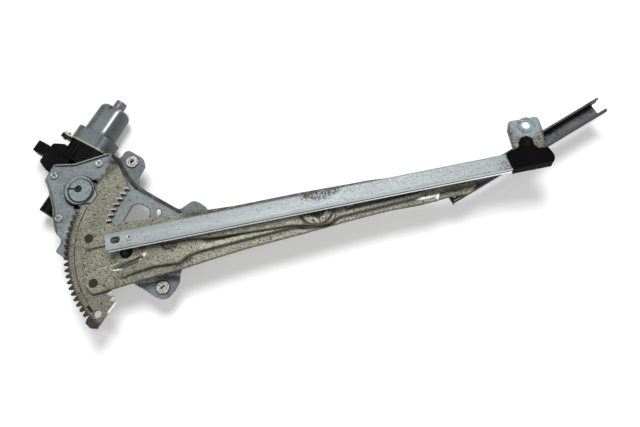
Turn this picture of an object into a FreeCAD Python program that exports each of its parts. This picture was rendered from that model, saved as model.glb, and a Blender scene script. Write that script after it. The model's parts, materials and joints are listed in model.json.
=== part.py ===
"""Power window regulator with crossed arms, sector gear and worm motor.

The origin lies on the axis of the main pivot, at the top face of the base plate. X runs along the
lift channel, Y across it in the plane of the plate, and Z up from the plate towards the arms.
All lengths are millimetres and all angles degrees.
"""
import FreeCAD, Part
import Sketcher
import math
import os
from FreeCAD import Placement, Rotation, Vector

# Driving dimensions
SIZES = {
    # Gear train
    "gear_module": 2.4,
    "full_circle_teeth": 105,
    "pinion_teeth": 9,
    "pinion_bearing": 138.8,
    "teeth_before_pinion": 4,
    "teeth_after_pinion": 21,
    "blank_pitch": 44.5,
    "blank_bearing": -12.5,
    # Thickness of the stampings and the gaps of the stack
    "plate_thick": 2.5,
    "plate_step": 7.0,
    "plate_slope": 45.0,
    "rim_rise": 2.4,
    "rim_thick": 1.6,
    "sector_gap": 1.0,
    "sector_thick": 3.5,
    "arm_thick": 2.5,
    "web_rise": 3.0,
    "web_slope": 35.0,
    "bead_slope": 40.0,
    "emboss_depth": 1.5,
    "link_thick": 2.5,
    "link_gap": 0.5,
    # Linkage
    "half_span": 175.0,
    "fold_bearing": 1.67,
    "arm_tip_radius": 12.5,
    "link_tip_radius": 11.0,
    "link_eye_radius": 20.5,
    "link_dish_radius": 17.0,
    # Guide channels and their shoes
    "channel_width": 20.0,
    "channel_height": 12.0,
    "channel_sheet": 1.6,
    "lift_slot": 10.0,
    "short_slot": 14.4,
    "channel_gap": 0.6,
    "lift_left": -70.5,
    "lift_length": 506.0,
    "short_left": -21.0,
    "short_length": 215.0,
    "short_bearing": 20.6,
    "shoe_length": 24.0,
    "shoe_play": 0.2,
    # Pins and fasteners
    "pivot_radius": 6.0,
    "pivot_head_radius": 8.2,
    "pivot_head_height": 1.6,
    "bush_radius": 11.0,
    "cross_spacer_radius": 10.5,
    "cross_rivet_radius": 4.0,
    "stud_radius": 3.8,
    "stud_collar_radius": 6.5,
    "stud_tail_radius": 3.0,
    "fit_clearance": 0.05,
    "running_gap": 0.3,
    "nut_flange_radius": 7.5,
    "nut_hub_radius": 4.6,
    "nut_thread_radius": 3.0,
    "nut_flange_thick": 1.6,
    "nut_length": 9.0,
    "screw_radius": 2.5,
    "screw_head_radius": 4.7,
    "screw_head_height": 2.2,
    "screw_socket_radius": 2.0,
    "screw_socket_depth": 1.3,
    "screw_circle": 41.0,
    "rivet_radius": 4.8,
    # Motor and gear housing
    "motor_bearing": 50.5,
    "motor_axis_depth": 18.0,
    "worm_offset": 31.0,
    "worm_radius": 5.4,
    "wheel_radius": 24.4,
    "wheel_thick": 12.0,
    "housing_wall": 2.5,
    "housing_depth": 29.5,
    "flange_place": 55.5,
    "flange_thick": 4.0,
    "can_step_place": 78.0,
    "can_end_place": 117.0,
    "can_width": 42.5,
    "can_draft": 1.0,
    "can_thick": 34.0,
    "can_base_width": 56.0,
    "can_wall": 1.8,
    "boss_radius": 7.3,
    "boss_length": 11.0,
    "shaft_radius": 3.0,
    "core_radius": 13.0,
    "pinion_journal_radius": 4.4,
    "pinion_shaft_radius": 5.0,
    "dome_radius": 19.0,
    "dome_step": 6.6,
    "dome_height": 8.4,
    "dome_top_radius": 14.8,
    # End bracket and pad
    "bracket_thick": 2.0,
    "pad_thick": 1.8,
}

# Heights worked out from the driving dimensions
LEVELS = {
    "arm_low": "=sector_gap + sector_thick",
    "arm_top": "=sector_gap + sector_thick + arm_thick",
    "web_top": "=sector_gap + sector_thick + arm_thick + web_rise",
    "upper_link_low": "=web_top + link_gap",
    "upper_link_top": "=upper_link_low + link_thick",
    "lower_link_top": "=arm_low - link_gap",
    "lower_link_low": "=lower_link_top - link_thick",
    "lift_low": "=upper_link_top + channel_gap",
    "lift_top": "=lift_low + channel_height",
    "short_top": "=lower_link_low - channel_gap",
    "short_low": "=short_top - channel_height",
    "lift_neck": "=lift_top - channel_sheet - shoe_play",
    "short_neck": "=short_low + channel_sheet + shoe_play",
    "plate_low": "=0 - plate_step - plate_thick",
    "plate_under": "=0 - plate_thick",
    "ear_top": "=0 - plate_step",
    "housing_low": "=0 - housing_depth",
    "motor_axis": "=0 - motor_axis_depth",
}

doc = FreeCAD.newDocument("window_regulator")
sheet = doc.addObject("Spreadsheet::Sheet", "Sizes")
for row, (name, entry) in enumerate(list(SIZES.items()) + list(LEVELS.items()), start=1):
    sheet.set("A%d" % row, name)
    sheet.set("B%d" % row, str(entry))
    sheet.setAlias("B%d" % row, name)
doc.recompute()


def size(name):
    """A driving dimension or level, read back from the sheet."""
    return float(sheet.get(name))


nodes = []


def keep(node, label):
    """Registers a finished sub-part under the name of its file."""
    node.Label = label
    nodes.append(node)
    return node


# Points and outlines

def polar(radius, bearing, centre=(0.0, 0.0)):
    """The point at a radius and a bearing in degrees."""
    turn = math.radians(bearing)
    return (centre[0] + radius * math.cos(turn), centre[1] + radius * math.sin(turn))


def turned(point, bearing):
    """A point turned about the origin."""
    turn = math.radians(bearing)
    return (point[0] * math.cos(turn) - point[1] * math.sin(turn),
            point[0] * math.sin(turn) + point[1] * math.cos(turn))


def edges_of(points, radius=0.0):
    """Closed outline through the points, with corners rounded by one radius or one per point."""
    count = len(points)
    radii = radius if isinstance(radius, (list, tuple)) else [radius] * count
    corners = []
    for i in range(count):
        here = Vector(*points[i], 0)
        back = Vector(*points[i - 1], 0) - here
        ahead = Vector(*points[(i + 1) % count], 0) - here
        if radii[i] <= 0:
            corners.append((here, None, here))
            continue
        half = back.getAngle(ahead) / 2
        run = min(radii[i] / math.tan(half), 0.48 * back.Length, 0.48 * ahead.Length)
        enter = here + back.normalize() * run
        leave = here + ahead.normalize() * run
        middle = (enter + leave) * 0.5
        reach = run / math.cos(half)
        round_radius = run * math.tan(half)
        top = here + (middle - here).normalize() * (reach - round_radius)
        corners.append((enter, top, leave))
    edges = []
    for i in range(count):
        enter, top, leave = corners[i]
        if top is not None:
            edges.append(Part.Arc(enter, top, leave))
        following = corners[(i + 1) % count][0]
        if leave.distanceToPoint(following) > 1e-6:
            edges.append(Part.LineSegment(leave, following))
    return edges


def boxed(low, high):
    """Corner points of a rectangle."""
    return [(low[0], low[1]), (high[0], low[1]), (high[0], high[1]), (low[0], high[1])]


def slot_points(start, end, half_width):
    """Corner points of a slot around the line from start to end, to be rounded by half_width."""
    along = Vector(end[0] - start[0], end[1] - start[1], 0).normalize()
    side = Vector(-along.y, along.x, 0) * half_width
    along = along * half_width
    low, high = Vector(*start, 0) - along, Vector(*end, 0) + along
    return [(low.x - side.x, low.y - side.y), (high.x - side.x, high.y - side.y),
            (high.x + side.x, high.y + side.y), (low.x + side.x, low.y + side.y)]


def shifted_line(points, distance):
    """An open line of points moved sideways, to the left of its direction."""
    moved = []
    for i, point in enumerate(points):
        before = points[max(i - 1, 0)]
        after = points[min(i + 1, len(points) - 1)]
        into = Vector(point[0] - before[0], point[1] - before[1], 0)
        out = Vector(after[0] - point[0], after[1] - point[1], 0)
        into = out if into.Length < 1e-9 else into
        out = into if out.Length < 1e-9 else out
        into.normalize()
        out.normalize()
        normal = Vector(-into.y - out.y, into.x + out.x, 0).normalize()
        stretch = distance / max(0.3, normal.dot(Vector(-into.y, into.x, 0)))
        moved.append((point[0] + normal.x * stretch, point[1] + normal.y * stretch))
    return moved


# Features

def new_body(name):
    """An empty body."""
    return doc.addObject("PartDesign::Body", name)


def sketch_on(body, name, level=None, role="XY_Plane"):
    """A sketch on one of the body's origin planes, raised by a named level or a plain distance."""
    drawing = body.newObject("Sketcher::SketchObject", name)
    plane = [f for f in body.Origin.OriginFeatures if f.Role == role][0]
    drawing.AttachmentSupport = [(plane, "")]
    drawing.MapMode = "FlatFace"
    if isinstance(level, str):
        drawing.setExpression("AttachmentOffset.Base.z", level_expression(level))
    elif level is not None:
        drawing.AttachmentOffset = Placement(Vector(0, 0, level), Rotation())
    return drawing


def level_expression(text):
    """Sheet expression for a name, or for a sum or difference of names and numbers."""
    words = text.split()
    return " ".join("Sizes." + w if w in SIZES or w in LEVELS else w for w in words)


def add_outline(drawing, points, radius=0.0):
    """Adds a closed outline to a sketch."""
    drawing.addGeometry(edges_of(points, radius), False)


def add_circle(drawing, centre, radius):
    """Adds a circle whose radius is a named size, a sum of names or a number."""
    number = drawing.addGeometry(Part.Circle(Vector(*centre, 0), Vector(0, 0, 1), 1.0), False)
    index = drawing.addConstraint(Sketcher.Constraint("Radius", number, 1.0))
    if isinstance(radius, str):
        drawing.setExpression("Constraints[%d]" % index, level_expression(radius))
    else:
        drawing.setDatum(index, FreeCAD.Units.Quantity("%f mm" % radius))
    for kind, value in (("DistanceX", centre[0]), ("DistanceY", centre[1])):
        if abs(value) > 1e-9:
            drawing.addConstraint(Sketcher.Constraint(kind, -1, 1, number, 3, value))
        else:
            line = -2 if kind == "DistanceX" else -1
            drawing.addConstraint(Sketcher.Constraint("PointOnObject", number, 3, line))


def extrude(kind, body, drawing, length, upward=True, slope=None):
    """Pads or pockets a sketch up or down by a named length, with walls that lean by a slope."""
    feature = body.newObject("PartDesign::" + kind, drawing.Name + "_" + kind.lower())
    feature.Profile = drawing
    feature.setExpression("Length", level_expression(length))
    along_normal = kind == "Pad"
    feature.Reversed = upward != along_normal
    if slope:
        feature.setExpression("TaperAngle", level_expression(slope))
    drawing.Visibility = False
    doc.recompute()
    if feature.Shape.isNull() or not feature.Shape.isValid():
        raise RuntimeError("no shape from " + feature.Name)
    return feature


def pad(body, drawing, length, upward=True, slope=None):
    """Adds material from a sketch."""
    return extrude("Pad", body, drawing, length, upward, slope)


def pocket(body, drawing, length, upward=False, slope=None):
    """Removes material from a sketch, and makes sure that some went."""
    before = body.Shape.Volume
    feature = extrude("Pocket", body, drawing, length, upward, slope)
    if abs(before - feature.Shape.Volume) < 1e-3:
        raise RuntimeError("nothing removed by " + feature.Name)
    return feature


def round_edges(body, radius, wanted, kind="Fillet"):
    """Fillets or chamfers the edges of the tip that the test picks out."""
    base = body.Tip
    names = ["Edge%d" % (i + 1) for i, edge in enumerate(base.Shape.Edges) if wanted(edge)]
    if not names:
        raise RuntimeError("no edge to round on " + body.Name)
    feature = body.newObject("PartDesign::" + kind, body.Name + "_" + kind.lower())
    feature.Base = (base, names)
    feature.setExpression("Radius" if kind == "Fillet" else "Size", level_expression(radius))
    doc.recompute()
    if feature.Shape.isNull() or not feature.Shape.isValid():
        raise RuntimeError("no shape from " + feature.Name)
    return feature


def disc(name, centre, radius, low, length):
    """A cylinder that stands on a named level."""
    solid = doc.addObject("Part::Cylinder", name)
    solid.setExpression("Radius", level_expression(radius))
    solid.setExpression("Height", level_expression(length))
    solid.Placement = Placement(Vector(centre[0], centre[1], 0), Rotation())
    solid.setExpression("Placement.Base.z", level_expression(low))
    return solid


def fused(name, pieces):
    """Several solids joined into one."""
    union = doc.addObject("Part::MultiFuse", name)
    union.Shapes = pieces
    union.Refine = True
    return union


def cut(name, base, tool):
    """A solid less another."""
    remainder = doc.addObject("Part::Cut", name)
    remainder.Base = base
    remainder.Tool = tool
    remainder.Refine = True
    return remainder


def group(name, pieces):
    """Identical fasteners kept together as one node."""
    whole = doc.addObject("Part::Compound", name)
    whole.Links = pieces
    return whole


# Places that several pieces share

PIVOT = (0.0, 0.0)
SPAN = 2 * size("half_span")
FOLD = size("fold_bearing")
CROSS = polar(size("half_span"), FOLD)
ARM_TIP = polar(SPAN, FOLD)
UPPER_TIP = (0.0, ARM_TIP[1])
LOWER_TIP = (ARM_TIP[0], 0.0)
MODULE = size("gear_module")
PITCH_RADIUS = MODULE * size("full_circle_teeth") / 2
PINION_PITCH_RADIUS = MODULE * size("pinion_teeth") / 2
PINION = polar(PITCH_RADIUS + PINION_PITCH_RADIUS, size("pinion_bearing"))
BLANK_CENTRE = polar(size("blank_pitch"), size("blank_bearing"))
TOOTH_STEP = 360.0 / size("full_circle_teeth")
# The end of the lift channel, on its centre line, where bracket and pad sit
CHANNEL_END = (size("lift_left") + size("lift_length"), UPPER_TIP[1])
MOTOR_FRAME = Placement(Vector(PINION[0], PINION[1], 0),
                        Rotation(Vector(0, 0, 1), size("motor_bearing")))
WORM_AXIS = (size("worm_offset"), size("motor_axis"))
SCREW_BEARINGS = (-0.5, 87.5, 175.5)
NUT_PLACES = ((-37.5, 118.5), (-17.5, -47.5), (36.0, 25.5))
RIVET_PLACES = ((-95.2, 25.0), (-94.5, -30.3))


def on_arm(along, across):
    """A point given along and across the main arm."""
    return turned((along, across), FOLD)


def on_link(along, across):
    """A point given along the equalizer arm from the cross pivot, positive to the lower tip."""
    x, y = turned((along, across), -FOLD)
    return (CROSS[0] + x, CROSS[1] + y)


# Base plate, with its outline, the two levels of its ears, the rim and the pinion dome

PLATE_OUTLINE = [(-134, 132.5), (-107, 127.5), (-71, 132), (-60.5, 133), (-52, 126.5), (-42.5, 137.5),
                 (-23.5, 120), (-22.5, 109), (-32, 96.5), (-31.5, 86), (-24, 76.5), (13, 44),
                 (21.5, 48.5), (31, 52.5), (38, 48.5), (49, 37), (44, 16), (22, -22), (8, -32),
                 (3.5, -42.5), (-4, -53), (-13, -60.5), (-20, -61), (-28, -56.5), (-39, -46),
                 (-60, -28), (-127, 8), (-139, 20), (-129, 32), (-137, 42.5), (-138.6, 55),
                 (-138.6, 77), (-142, 100.5), (-145.7, 114.7)]
PLATE_CORNERS = [3, 8, 8, 3, 4, 8, 9, 6, 8, 6, 9, 6, 6, 9, 6, 14, 20, 16, 3,
                 4, 8, 7, 7, 8, 10, 12, 10, 3, 8, 8, 30, 40, 30, 4]
BEND_LINES = ([(-64, 145), (-61, 127), (-47, 95), (-37, 78.5), (9, 39.5), (24, 12), (70, -14)],
              [(40, -46), (6, -39), (-12, -32), (-62, -28.5), (-90, -52)])
DOME_MOUTH = 112.5
RIM_LINES = ([(-63, 132.2), (-71, 131.6), (-107, 127.2), (-131.6, 131.8)],
             [(-145.2, 113.4), (-141.8, 100.5), (-138.4, 77), (-138.4, 55), (-137.2, 45)])


def base_plate():
    body = new_body("BasePlate")
    drawing = sketch_on(body, "PlateOutline", "plate_low")
    add_outline(drawing, PLATE_OUTLINE, PLATE_CORNERS)
    pad(body, drawing, "plate_step + plate_thick")
    slope = math.radians(size("plate_slope"))
    run = size("plate_step") / math.tan(slope)
    thickness = size("plate_thick") / math.sin(slope)
    for number, line in enumerate(BEND_LINES):
        # The lower level is cleared from above, and its wall leans down to the ears
        far = shifted_line(line, 120.0)
        drawing = sketch_on(body, "EarLevel%d" % number, 0.0)
        add_outline(drawing, line + [far[-1], far[0]])
        pocket(body, drawing, "plate_step", upward=False, slope="0 - plate_slope")
    # The space under the upper level is cleared from below, parallel to both walls
    right = shifted_line(BEND_LINES[0], run - thickness + size("plate_thick"))
    lower = shifted_line(BEND_LINES[1], run - thickness + size("plate_thick"))
    drawing = sketch_on(body, "UnderLevel", "plate_low")
    add_outline(drawing, right + [(70, -40)] + lower + [(-200, -52), (-200, 160), (-64, 160)])
    pocket(body, drawing, "plate_step", upward=True, slope="0 - plate_slope")
    for number, line in enumerate(RIM_LINES):
        inner = shifted_line(line, size("rim_thick"))
        drawing = sketch_on(body, "Rim%d" % number, "plate_under")
        add_outline(drawing, line + inner[::-1])
        pad(body, drawing, "plate_thick + rim_rise")
    # The dome over the pinion narrows to a mouth, where the sector runs in under it
    turn = size("pinion_bearing")
    reach = size("dome_radius")
    drawing = sketch_on(body, "Dome", "plate_under")
    back, flank = polar(reach, turn, PINION), [polar(reach, turn + side, PINION) for side in (-125, 125)]
    mouth = [turned((DOME_MOUTH, side), turn) for side in (-6.2, 6.2)]
    drawing.addGeometry([
        Part.Arc(Vector(*flank[0], 0), Vector(*back, 0), Vector(*flank[1], 0)),
        Part.LineSegment(Vector(*flank[1], 0), Vector(*mouth[1], 0)),
        Part.LineSegment(Vector(*mouth[1], 0), Vector(*mouth[0], 0)),
        Part.LineSegment(Vector(*mouth[0], 0), Vector(*flank[0], 0))], False)
    pad(body, drawing, "plate_thick + dome_step")
    step = size("dome_step")
    round_edges(body, "plate_thick - 0.6", lambda edge: abs(edge.BoundBox.ZMin - step) < 1e-4
                and abs(edge.BoundBox.ZMax - step) < 1e-4)
    drawing = sketch_on(body, "DomeTop", "0")
    add_circle(drawing, polar(-3.0, turn, PINION), "dome_top_radius")
    pad(body, drawing, "dome_height")
    top = size("dome_height")
    round_edges(body, "1.2", lambda edge: abs(edge.BoundBox.ZMin - top) < 1e-4
                and abs(edge.BoundBox.ZMax - top) < 1e-4)
    drawing = sketch_on(body, "SectorPassage", 0.0)
    add_circle(drawing, PIVOT, PITCH_RADIUS + MODULE + 4.1)
    pocket(body, drawing, "sector_gap + sector_thick + 0.7", upward=True)
    drawing = sketch_on(body, "PinionSpace", "plate_under")
    add_circle(drawing, PINION, "dome_radius - plate_thick")
    pocket(body, drawing, "plate_thick + dome_step - 1.1", upward=True)
    drawing = sketch_on(body, "JournalHole", size("dome_height") + 1)
    add_circle(drawing, PINION, "pinion_journal_radius + fit_clearance")
    pocket(body, drawing, "plate_thick + 2")
    lance = polar(13.0, turn + 27, PINION)
    drawing = sketch_on(body, "DomeLance", size("dome_height") + 1)
    add_outline(drawing, slot_points(PINION, lance, 0.8))
    pocket(body, drawing, "2.2")
    # Clearance window for the teeth, through the plate on both sides of the dome
    low_side = polar(PITCH_RADIUS + 2.5, turn + 8.5)
    high_side = polar(PITCH_RADIUS + 2.5, turn - 8.0)
    drawing = sketch_on(body, "ToothWindow", 0.0)
    add_outline(drawing, slot_points(low_side, high_side, 4.6), 4.0)
    pocket(body, drawing, "plate_thick")
    openings = sketch_on(body, "PlateOpening", 1.0)
    add_outline(openings, [(-63, 30), (-38, 63.5), (-20, 50), (-26, 28)], [7, 9, 10, 7])
    add_outline(openings, slot_points((-11, 42.5), (-11, 45.5), 2.9), 2.85)
    pocket(body, openings, "plate_thick + 2")
    holes = sketch_on(body, "ScrewHoles", 1.0)
    for bearing in SCREW_BEARINGS:
        place = polar(size("screw_circle"), bearing + size("motor_bearing"), PINION)
        add_circle(holes, place, "screw_radius + 0.1")
    add_circle(holes, PIVOT, "pivot_radius")
    pocket(body, holes, "plate_thick + 1")
    holes = sketch_on(body, "NutHoles", 0.0)
    for place in NUT_PLACES:
        add_circle(holes, place, "nut_hub_radius")
    pocket(body, holes, "plate_step + plate_thick")
    return keep(body, "base_plate")


def weld_nuts():
    pieces = []
    for number, place in enumerate(NUT_PLACES):
        flange = disc("NutFlange%d" % number, place, "nut_flange_radius", "ear_top", "nut_flange_thick")
        hub = disc("NutHub%d" % number, place, "nut_hub_radius",
                   "ear_top + nut_flange_thick + 0.4 - nut_length", "nut_length")
        bore = disc("NutBore%d" % number, place, "nut_thread_radius", "ear_top - nut_length",
                    "2 * nut_length")
        pieces.append(cut("Nut%d" % number, fused("NutBlank%d" % number, [flange, hub]), bore))
    return keep(group("WeldNuts", pieces), "weld_nuts")


def motor_screws():
    pieces = []
    for number, bearing in enumerate(SCREW_BEARINGS):
        place = polar(size("screw_circle"), bearing + size("motor_bearing"), PINION)
        head = disc("ScrewHead%d" % number, place, "screw_head_radius", "0", "screw_head_height")
        shank = disc("ScrewShank%d" % number, place, "screw_radius", "0 - 12", "12")
        socket = doc.addObject("Part::Prism", "ScrewSocket%d" % number)
        socket.Polygon = 6
        socket.setExpression("Circumradius", level_expression("screw_socket_radius"))
        socket.setExpression("Height", level_expression("screw_socket_depth + 1"))
        socket.Placement = Placement(Vector(place[0], place[1], 0), Rotation())
        socket.setExpression("Placement.Base.z",
                             level_expression("screw_head_height - screw_socket_depth"))
        pieces.append(cut("MotorScrew%d" % number, fused("ScrewBlank%d" % number, [head, shank]), socket))
    return keep(group("MotorScrews", pieces), "motor_screws")


def main_pivot_pin():
    foot = disc("PivotFoot", PIVOT, "pivot_radius + 4", "plate_under - 2", "2")
    shank = disc("PivotShank", PIVOT, "pivot_radius", "plate_under - 1", "plate_thick + web_top")
    collar = disc("PivotCollar", PIVOT, "bush_radius + 3", "0", "arm_low - running_gap")
    head = disc("PivotHead", PIVOT, "pivot_head_radius", "web_top + 0.2 - pivot_head_height",
                "pivot_head_height")
    return keep(fused("PivotPin", [foot, shank, collar, head]), "main_pivot_pin")


# Sector gear, with the teeth and, on its inner edge, the teeth of the next blank of the strip

def tooth_run(centre, first, last, flip=False):
    """Points of the gear's edge about a centre, from one tooth to another."""
    tip = PITCH_RADIUS + MODULE
    root = PITCH_RADIUS - 1.25 * MODULE
    lean = math.tan(math.radians(20))
    half_pitch_width = math.pi * MODULE / 4 - 0.12
    tip_turn = math.degrees((half_pitch_width - MODULE * lean) / tip)
    root_turn = math.degrees((half_pitch_width + 1.25 * MODULE * lean) / root)
    points = []
    for number in range(first, last + 1):
        middle = size("pinion_bearing") + number * TOOTH_STEP
        points += [polar(root, middle - root_turn, centre), polar(tip, middle - tip_turn, centre),
                   polar(tip, middle + tip_turn, centre), polar(root, middle + root_turn, centre)]
    return points[::-1] if flip else points


def sector_gear():
    body = new_body("SectorGear")
    before, after = int(size("teeth_before_pinion")), int(size("teeth_after_pinion"))
    outer = tooth_run(PIVOT, -before, after)
    block = PITCH_RADIUS + MODULE + 3.0
    first_turn = size("pinion_bearing") - (before + 0.62) * TOOTH_STEP
    last_turn = size("pinion_bearing") + (after + 0.62) * TOOTH_STEP
    root = PITCH_RADIUS - 1.25 * MODULE
    top_block = [(-43.5, 82.3), (-52.3, 113.4), polar(block, first_turn - 4.2),
                 polar(block - 1.2, first_turn - 1.2), polar(block - 5, first_turn - 0.3),
                 polar(root, first_turn)]
    low_block = [polar(root, last_turn), polar(block - 4, last_turn + 0.4),
                 polar(block, last_turn + 1.6), polar(block, last_turn + 5.2),
                 polar(block - 4.5, last_turn + 8.0), (-88.1, -74.3), (-71.9, -57.4)]
    inner = tooth_run(BLANK_CENTRE, -1, 18, flip=True)
    drawing = sketch_on(body, "SectorOutline", "sector_gap")
    add_outline(drawing, top_block + outer + low_block + inner)
    pad(body, drawing, "sector_thick")
    groove = PITCH_RADIUS - 10.5
    drawing = sketch_on(body, "WearGroove", "arm_low")
    start, end = size("pinion_bearing") + 6, size("pinion_bearing") + 68
    arcs = [Part.Arc(Vector(*polar(r, start), 0), Vector(*polar(r, (start + end) / 2), 0),
                     Vector(*polar(r, end), 0)) for r in (groove - 0.5, groove + 0.5)]
    drawing.addGeometry(arcs, False)
    for bearing in (start, end):
        drawing.addGeometry(Part.LineSegment(Vector(*polar(groove - 0.5, bearing), 0),
                                             Vector(*polar(groove + 0.5, bearing), 0)), False)
    pocket(body, drawing, "0.5")
    holes = sketch_on(body, "SectorHoles", "arm_low")
    add_circle(holes, (-93.5, -66.5), 4.7)
    for place in RIVET_PLACES:
        add_circle(holes, place, "rivet_radius")
    pocket(body, holes, "sector_thick")
    drawing = sketch_on(body, "BlindSlot", "arm_low")
    add_outline(drawing, slot_points(polar(117.6, 208.6), polar(117.6, 211.6), 1.8), 1.75)
    pocket(body, drawing, "sector_thick * 0.7")
    return keep(body, "sector_gear")


# Main arm, a stamping with a raised web, long beads and a hole over the base plate

ARM_TIP_RADIUS = size("arm_tip_radius")
ARM_OUTLINE = [(-99, 41.5), (-73, 41.5), (-36, 37), (0, 35), (41, 31), (82, 27.6), (160, 25.4),
               (220, 22.4), (245, 21.2), (262, 19.2), (313, 17.0), (320, ARM_TIP_RADIUS + 0.4),
               (SPAN, ARM_TIP_RADIUS), (SPAN + ARM_TIP_RADIUS, ARM_TIP_RADIUS),
               (SPAN + ARM_TIP_RADIUS, -ARM_TIP_RADIUS), (SPAN, -ARM_TIP_RADIUS),
               (319, -ARM_TIP_RADIUS - 0.4), (314.5, -22.0), (262, -20.8), (220, -21.6), (160, -24.6),
               (82, -27.6), (41, -31), (0, -35), (-43, -37), (-75, -39.5),
               (-98, -41), (-104.5, -31), (-104.5, 36)]
ARM_CORNERS = [5, 20, 60, 60, 60, 80, 80, 80, 60, 60, 12, 6, 0, 12.4, 12.4, 0, 5, 2, 60, 80, 80, 80,
               60, 60, 60, 20, 7, 7, 6]
WEB_OUTLINE = [(-66, 27), (-22, 26), (-10, 29), (10, 29), (20, 22), (34, 20.2), (76, 18.8),
               (148, 16.8), (158, 20.4), (191, 20.4), (201, 16.8), (262, 14.6), (303, 12.4),
               (303, -15.2), (262, -15.8), (201, -16.8), (191, -20.4), (158, -20.4), (148, -16.8),
               (76, -18.8), (34, -20.2), (20, -22), (10, -29), (-10, -27), (-22, -26), (-66, -30)]
WEB_CORNERS = [6, 6, 14, 14, 8, 14, 60, 10, 8, 8, 10, 60, 6, 4, 60, 10, 8, 8, 10, 60, 14, 8, 14, 14, 6, 6]
RAMP_FOOT, RAMP_HEAD = -66.5, -42.0
SHORT_BEAD = [(-66, -21), (-37, -18), (-30.5, -12), (-33.5, -7.4), (-40, -8.2), (-64, -14.2)]
SHORT_BEAD_CORNERS = [3, 6, 5, 3.5, 5, 3]


def main_arm():
    body = new_body("MainArm")
    drawing = sketch_on(body, "ArmOutline", "arm_low")
    add_outline(drawing, [on_arm(*p) for p in ARM_OUTLINE], ARM_CORNERS)
    pad(body, drawing, "arm_thick")
    drawing = sketch_on(body, "WebOutline", "arm_top")
    add_outline(drawing, [on_arm(*p) for p in WEB_OUTLINE], WEB_CORNERS)
    pad(body, drawing, "web_rise", slope="0 - web_slope")
    # The web's left end ramps down to the panel of the rivets
    drawing = sketch_on(body, "WebRamp", -45.0, role="XZ_Plane")
    add_outline(drawing, [(RAMP_FOOT, size("arm_top") + 0.02), (RAMP_HEAD, size("web_top")),
                          (RAMP_HEAD, size("web_top") + 2), (RAMP_FOOT, size("web_top") + 2)])
    pocket(body, drawing, "90", upward=True)
    drawing = sketch_on(body, "WebUnderside", "arm_low")
    under = [on_arm(max(x, RAMP_HEAD - 2), y) for x, y in WEB_OUTLINE]
    add_outline(drawing, offset_outline(under, size("arm_thick") * 0.55), WEB_CORNERS)
    pocket(body, drawing, "web_rise", upward=True, slope="0 - web_slope")
    # The short bead is drawn deep, so its floor stands below the web's underside
    drawing = sketch_on(body, "ShortBeadFloor", "arm_low + 0.6")
    add_outline(drawing, offset_outline(SHORT_BEAD, -0.8), SHORT_BEAD_CORNERS)
    pad(body, drawing, "arm_thick")
    drawing = sketch_on(body, "ShortBead", "web_top")
    add_outline(drawing, SHORT_BEAD, SHORT_BEAD_CORNERS)
    pocket(body, drawing, "web_rise + 0.6", slope="0 - bead_slope")
    beads = sketch_on(body, "LongBeads", "web_top")
    add_outline(beads, [on_arm(38, 11), on_arm(149, 9.5), on_arm(149, -9.5), on_arm(38, -11.5)], [8, 6, 6, 8])
    add_outline(beads, [on_arm(207, 9), on_arm(297, 7), on_arm(297, -9.4), on_arm(207, -10.4)], [6, 4, 4, 6])
    pocket(body, beads, "emboss_depth", slope="0 - bead_slope")
    panel = sketch_on(body, "RivetPanel", "arm_top")
    add_outline(panel, [(-101, 12), (-76, 12.6), (-63, 9.5), (-63, -9), (-72, -12.4), (-100, -14.8)], 3)
    pocket(body, panel, "arm_thick * 0.45", slope="0 - bead_slope")
    holes = sketch_on(body, "ArmHoles", size("web_top") + 1)
    add_circle(holes, PIVOT, "bush_radius")
    add_circle(holes, (-52.0, -0.4), 8.2)
    add_circle(holes, CROSS, "cross_spacer_radius + fit_clearance")
    add_circle(holes, ARM_TIP, "stud_tail_radius")
    pocket(body, holes, "arm_thick + web_rise + 2")
    holes = sketch_on(body, "RivetHoles", "arm_top")
    for place in RIVET_PLACES:
        add_circle(holes, place, "rivet_radius")
    pocket(body, holes, "arm_thick")
    return keep(body, "main_arm")


def offset_outline(points, distance):
    """A closed outline of points moved inwards."""
    count = len(points)
    area = sum(points[i - 1][0] * points[i][1] - points[i][0] * points[i - 1][1] for i in range(count))
    inward = distance if area > 0 else -distance
    moved = shifted_line([points[-1]] + list(points) + [points[0]], inward)
    return moved[1:-1]


def sector_rivets():
    pieces = []
    for number, place in enumerate(RIVET_PLACES):
        shank = disc("RivetShank%d" % number, place, "rivet_radius", "sector_gap",
                     "sector_thick + arm_thick")
        head = disc("RivetHead%d" % number, place, "rivet_radius + 0.4", "arm_top", "0.4")
        pieces.append(fused("SectorRivet%d" % number, [shank, head]))
    return keep(group("SectorRivets", pieces), "sector_rivets")


def arm_bush():
    outer = disc("BushOuter", PIVOT, "bush_radius", "arm_low", "arm_thick + web_rise")
    bore = disc("BushBore", PIVOT, "pivot_radius + fit_clearance", "arm_low - 1", "arm_top + web_rise")
    seat = disc("BushSeat", PIVOT, "pivot_head_radius + 0.2",
                "web_top - pivot_head_height + 0.1", "pivot_head_height + 1")
    return keep(cut("ArmBush", outer, fused("BushTools", [bore, seat])), "arm_bush")


def stud(name, label, place, arm_face, arm_inner, shoe_face, neck_end):
    """A stepped stud: a riveted tail in the arm, a collar and the neck that the shoe turns on."""
    upward = size(shoe_face) > size(arm_face)
    low, high = (arm_face, shoe_face) if upward else (shoe_face, arm_face)
    collar = disc(name + "Collar", place, "stud_collar_radius", low, "%s - %s" % (high, low))
    tail_low, tail_high = (arm_inner, arm_face) if upward else (arm_face, arm_inner)
    tail = disc(name + "Tail", place, "stud_tail_radius", tail_low, "%s - %s" % (tail_high, tail_low))
    neck_low, neck_high = (shoe_face, neck_end) if upward else (neck_end, shoe_face)
    neck = disc(name + "Neck", place, "stud_radius", neck_low, "%s - %s" % (neck_high, neck_low))
    return keep(fused(name, [collar, tail, neck]), label)


# Equalizer arm, in two halves that pass above and below the main arm

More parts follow.
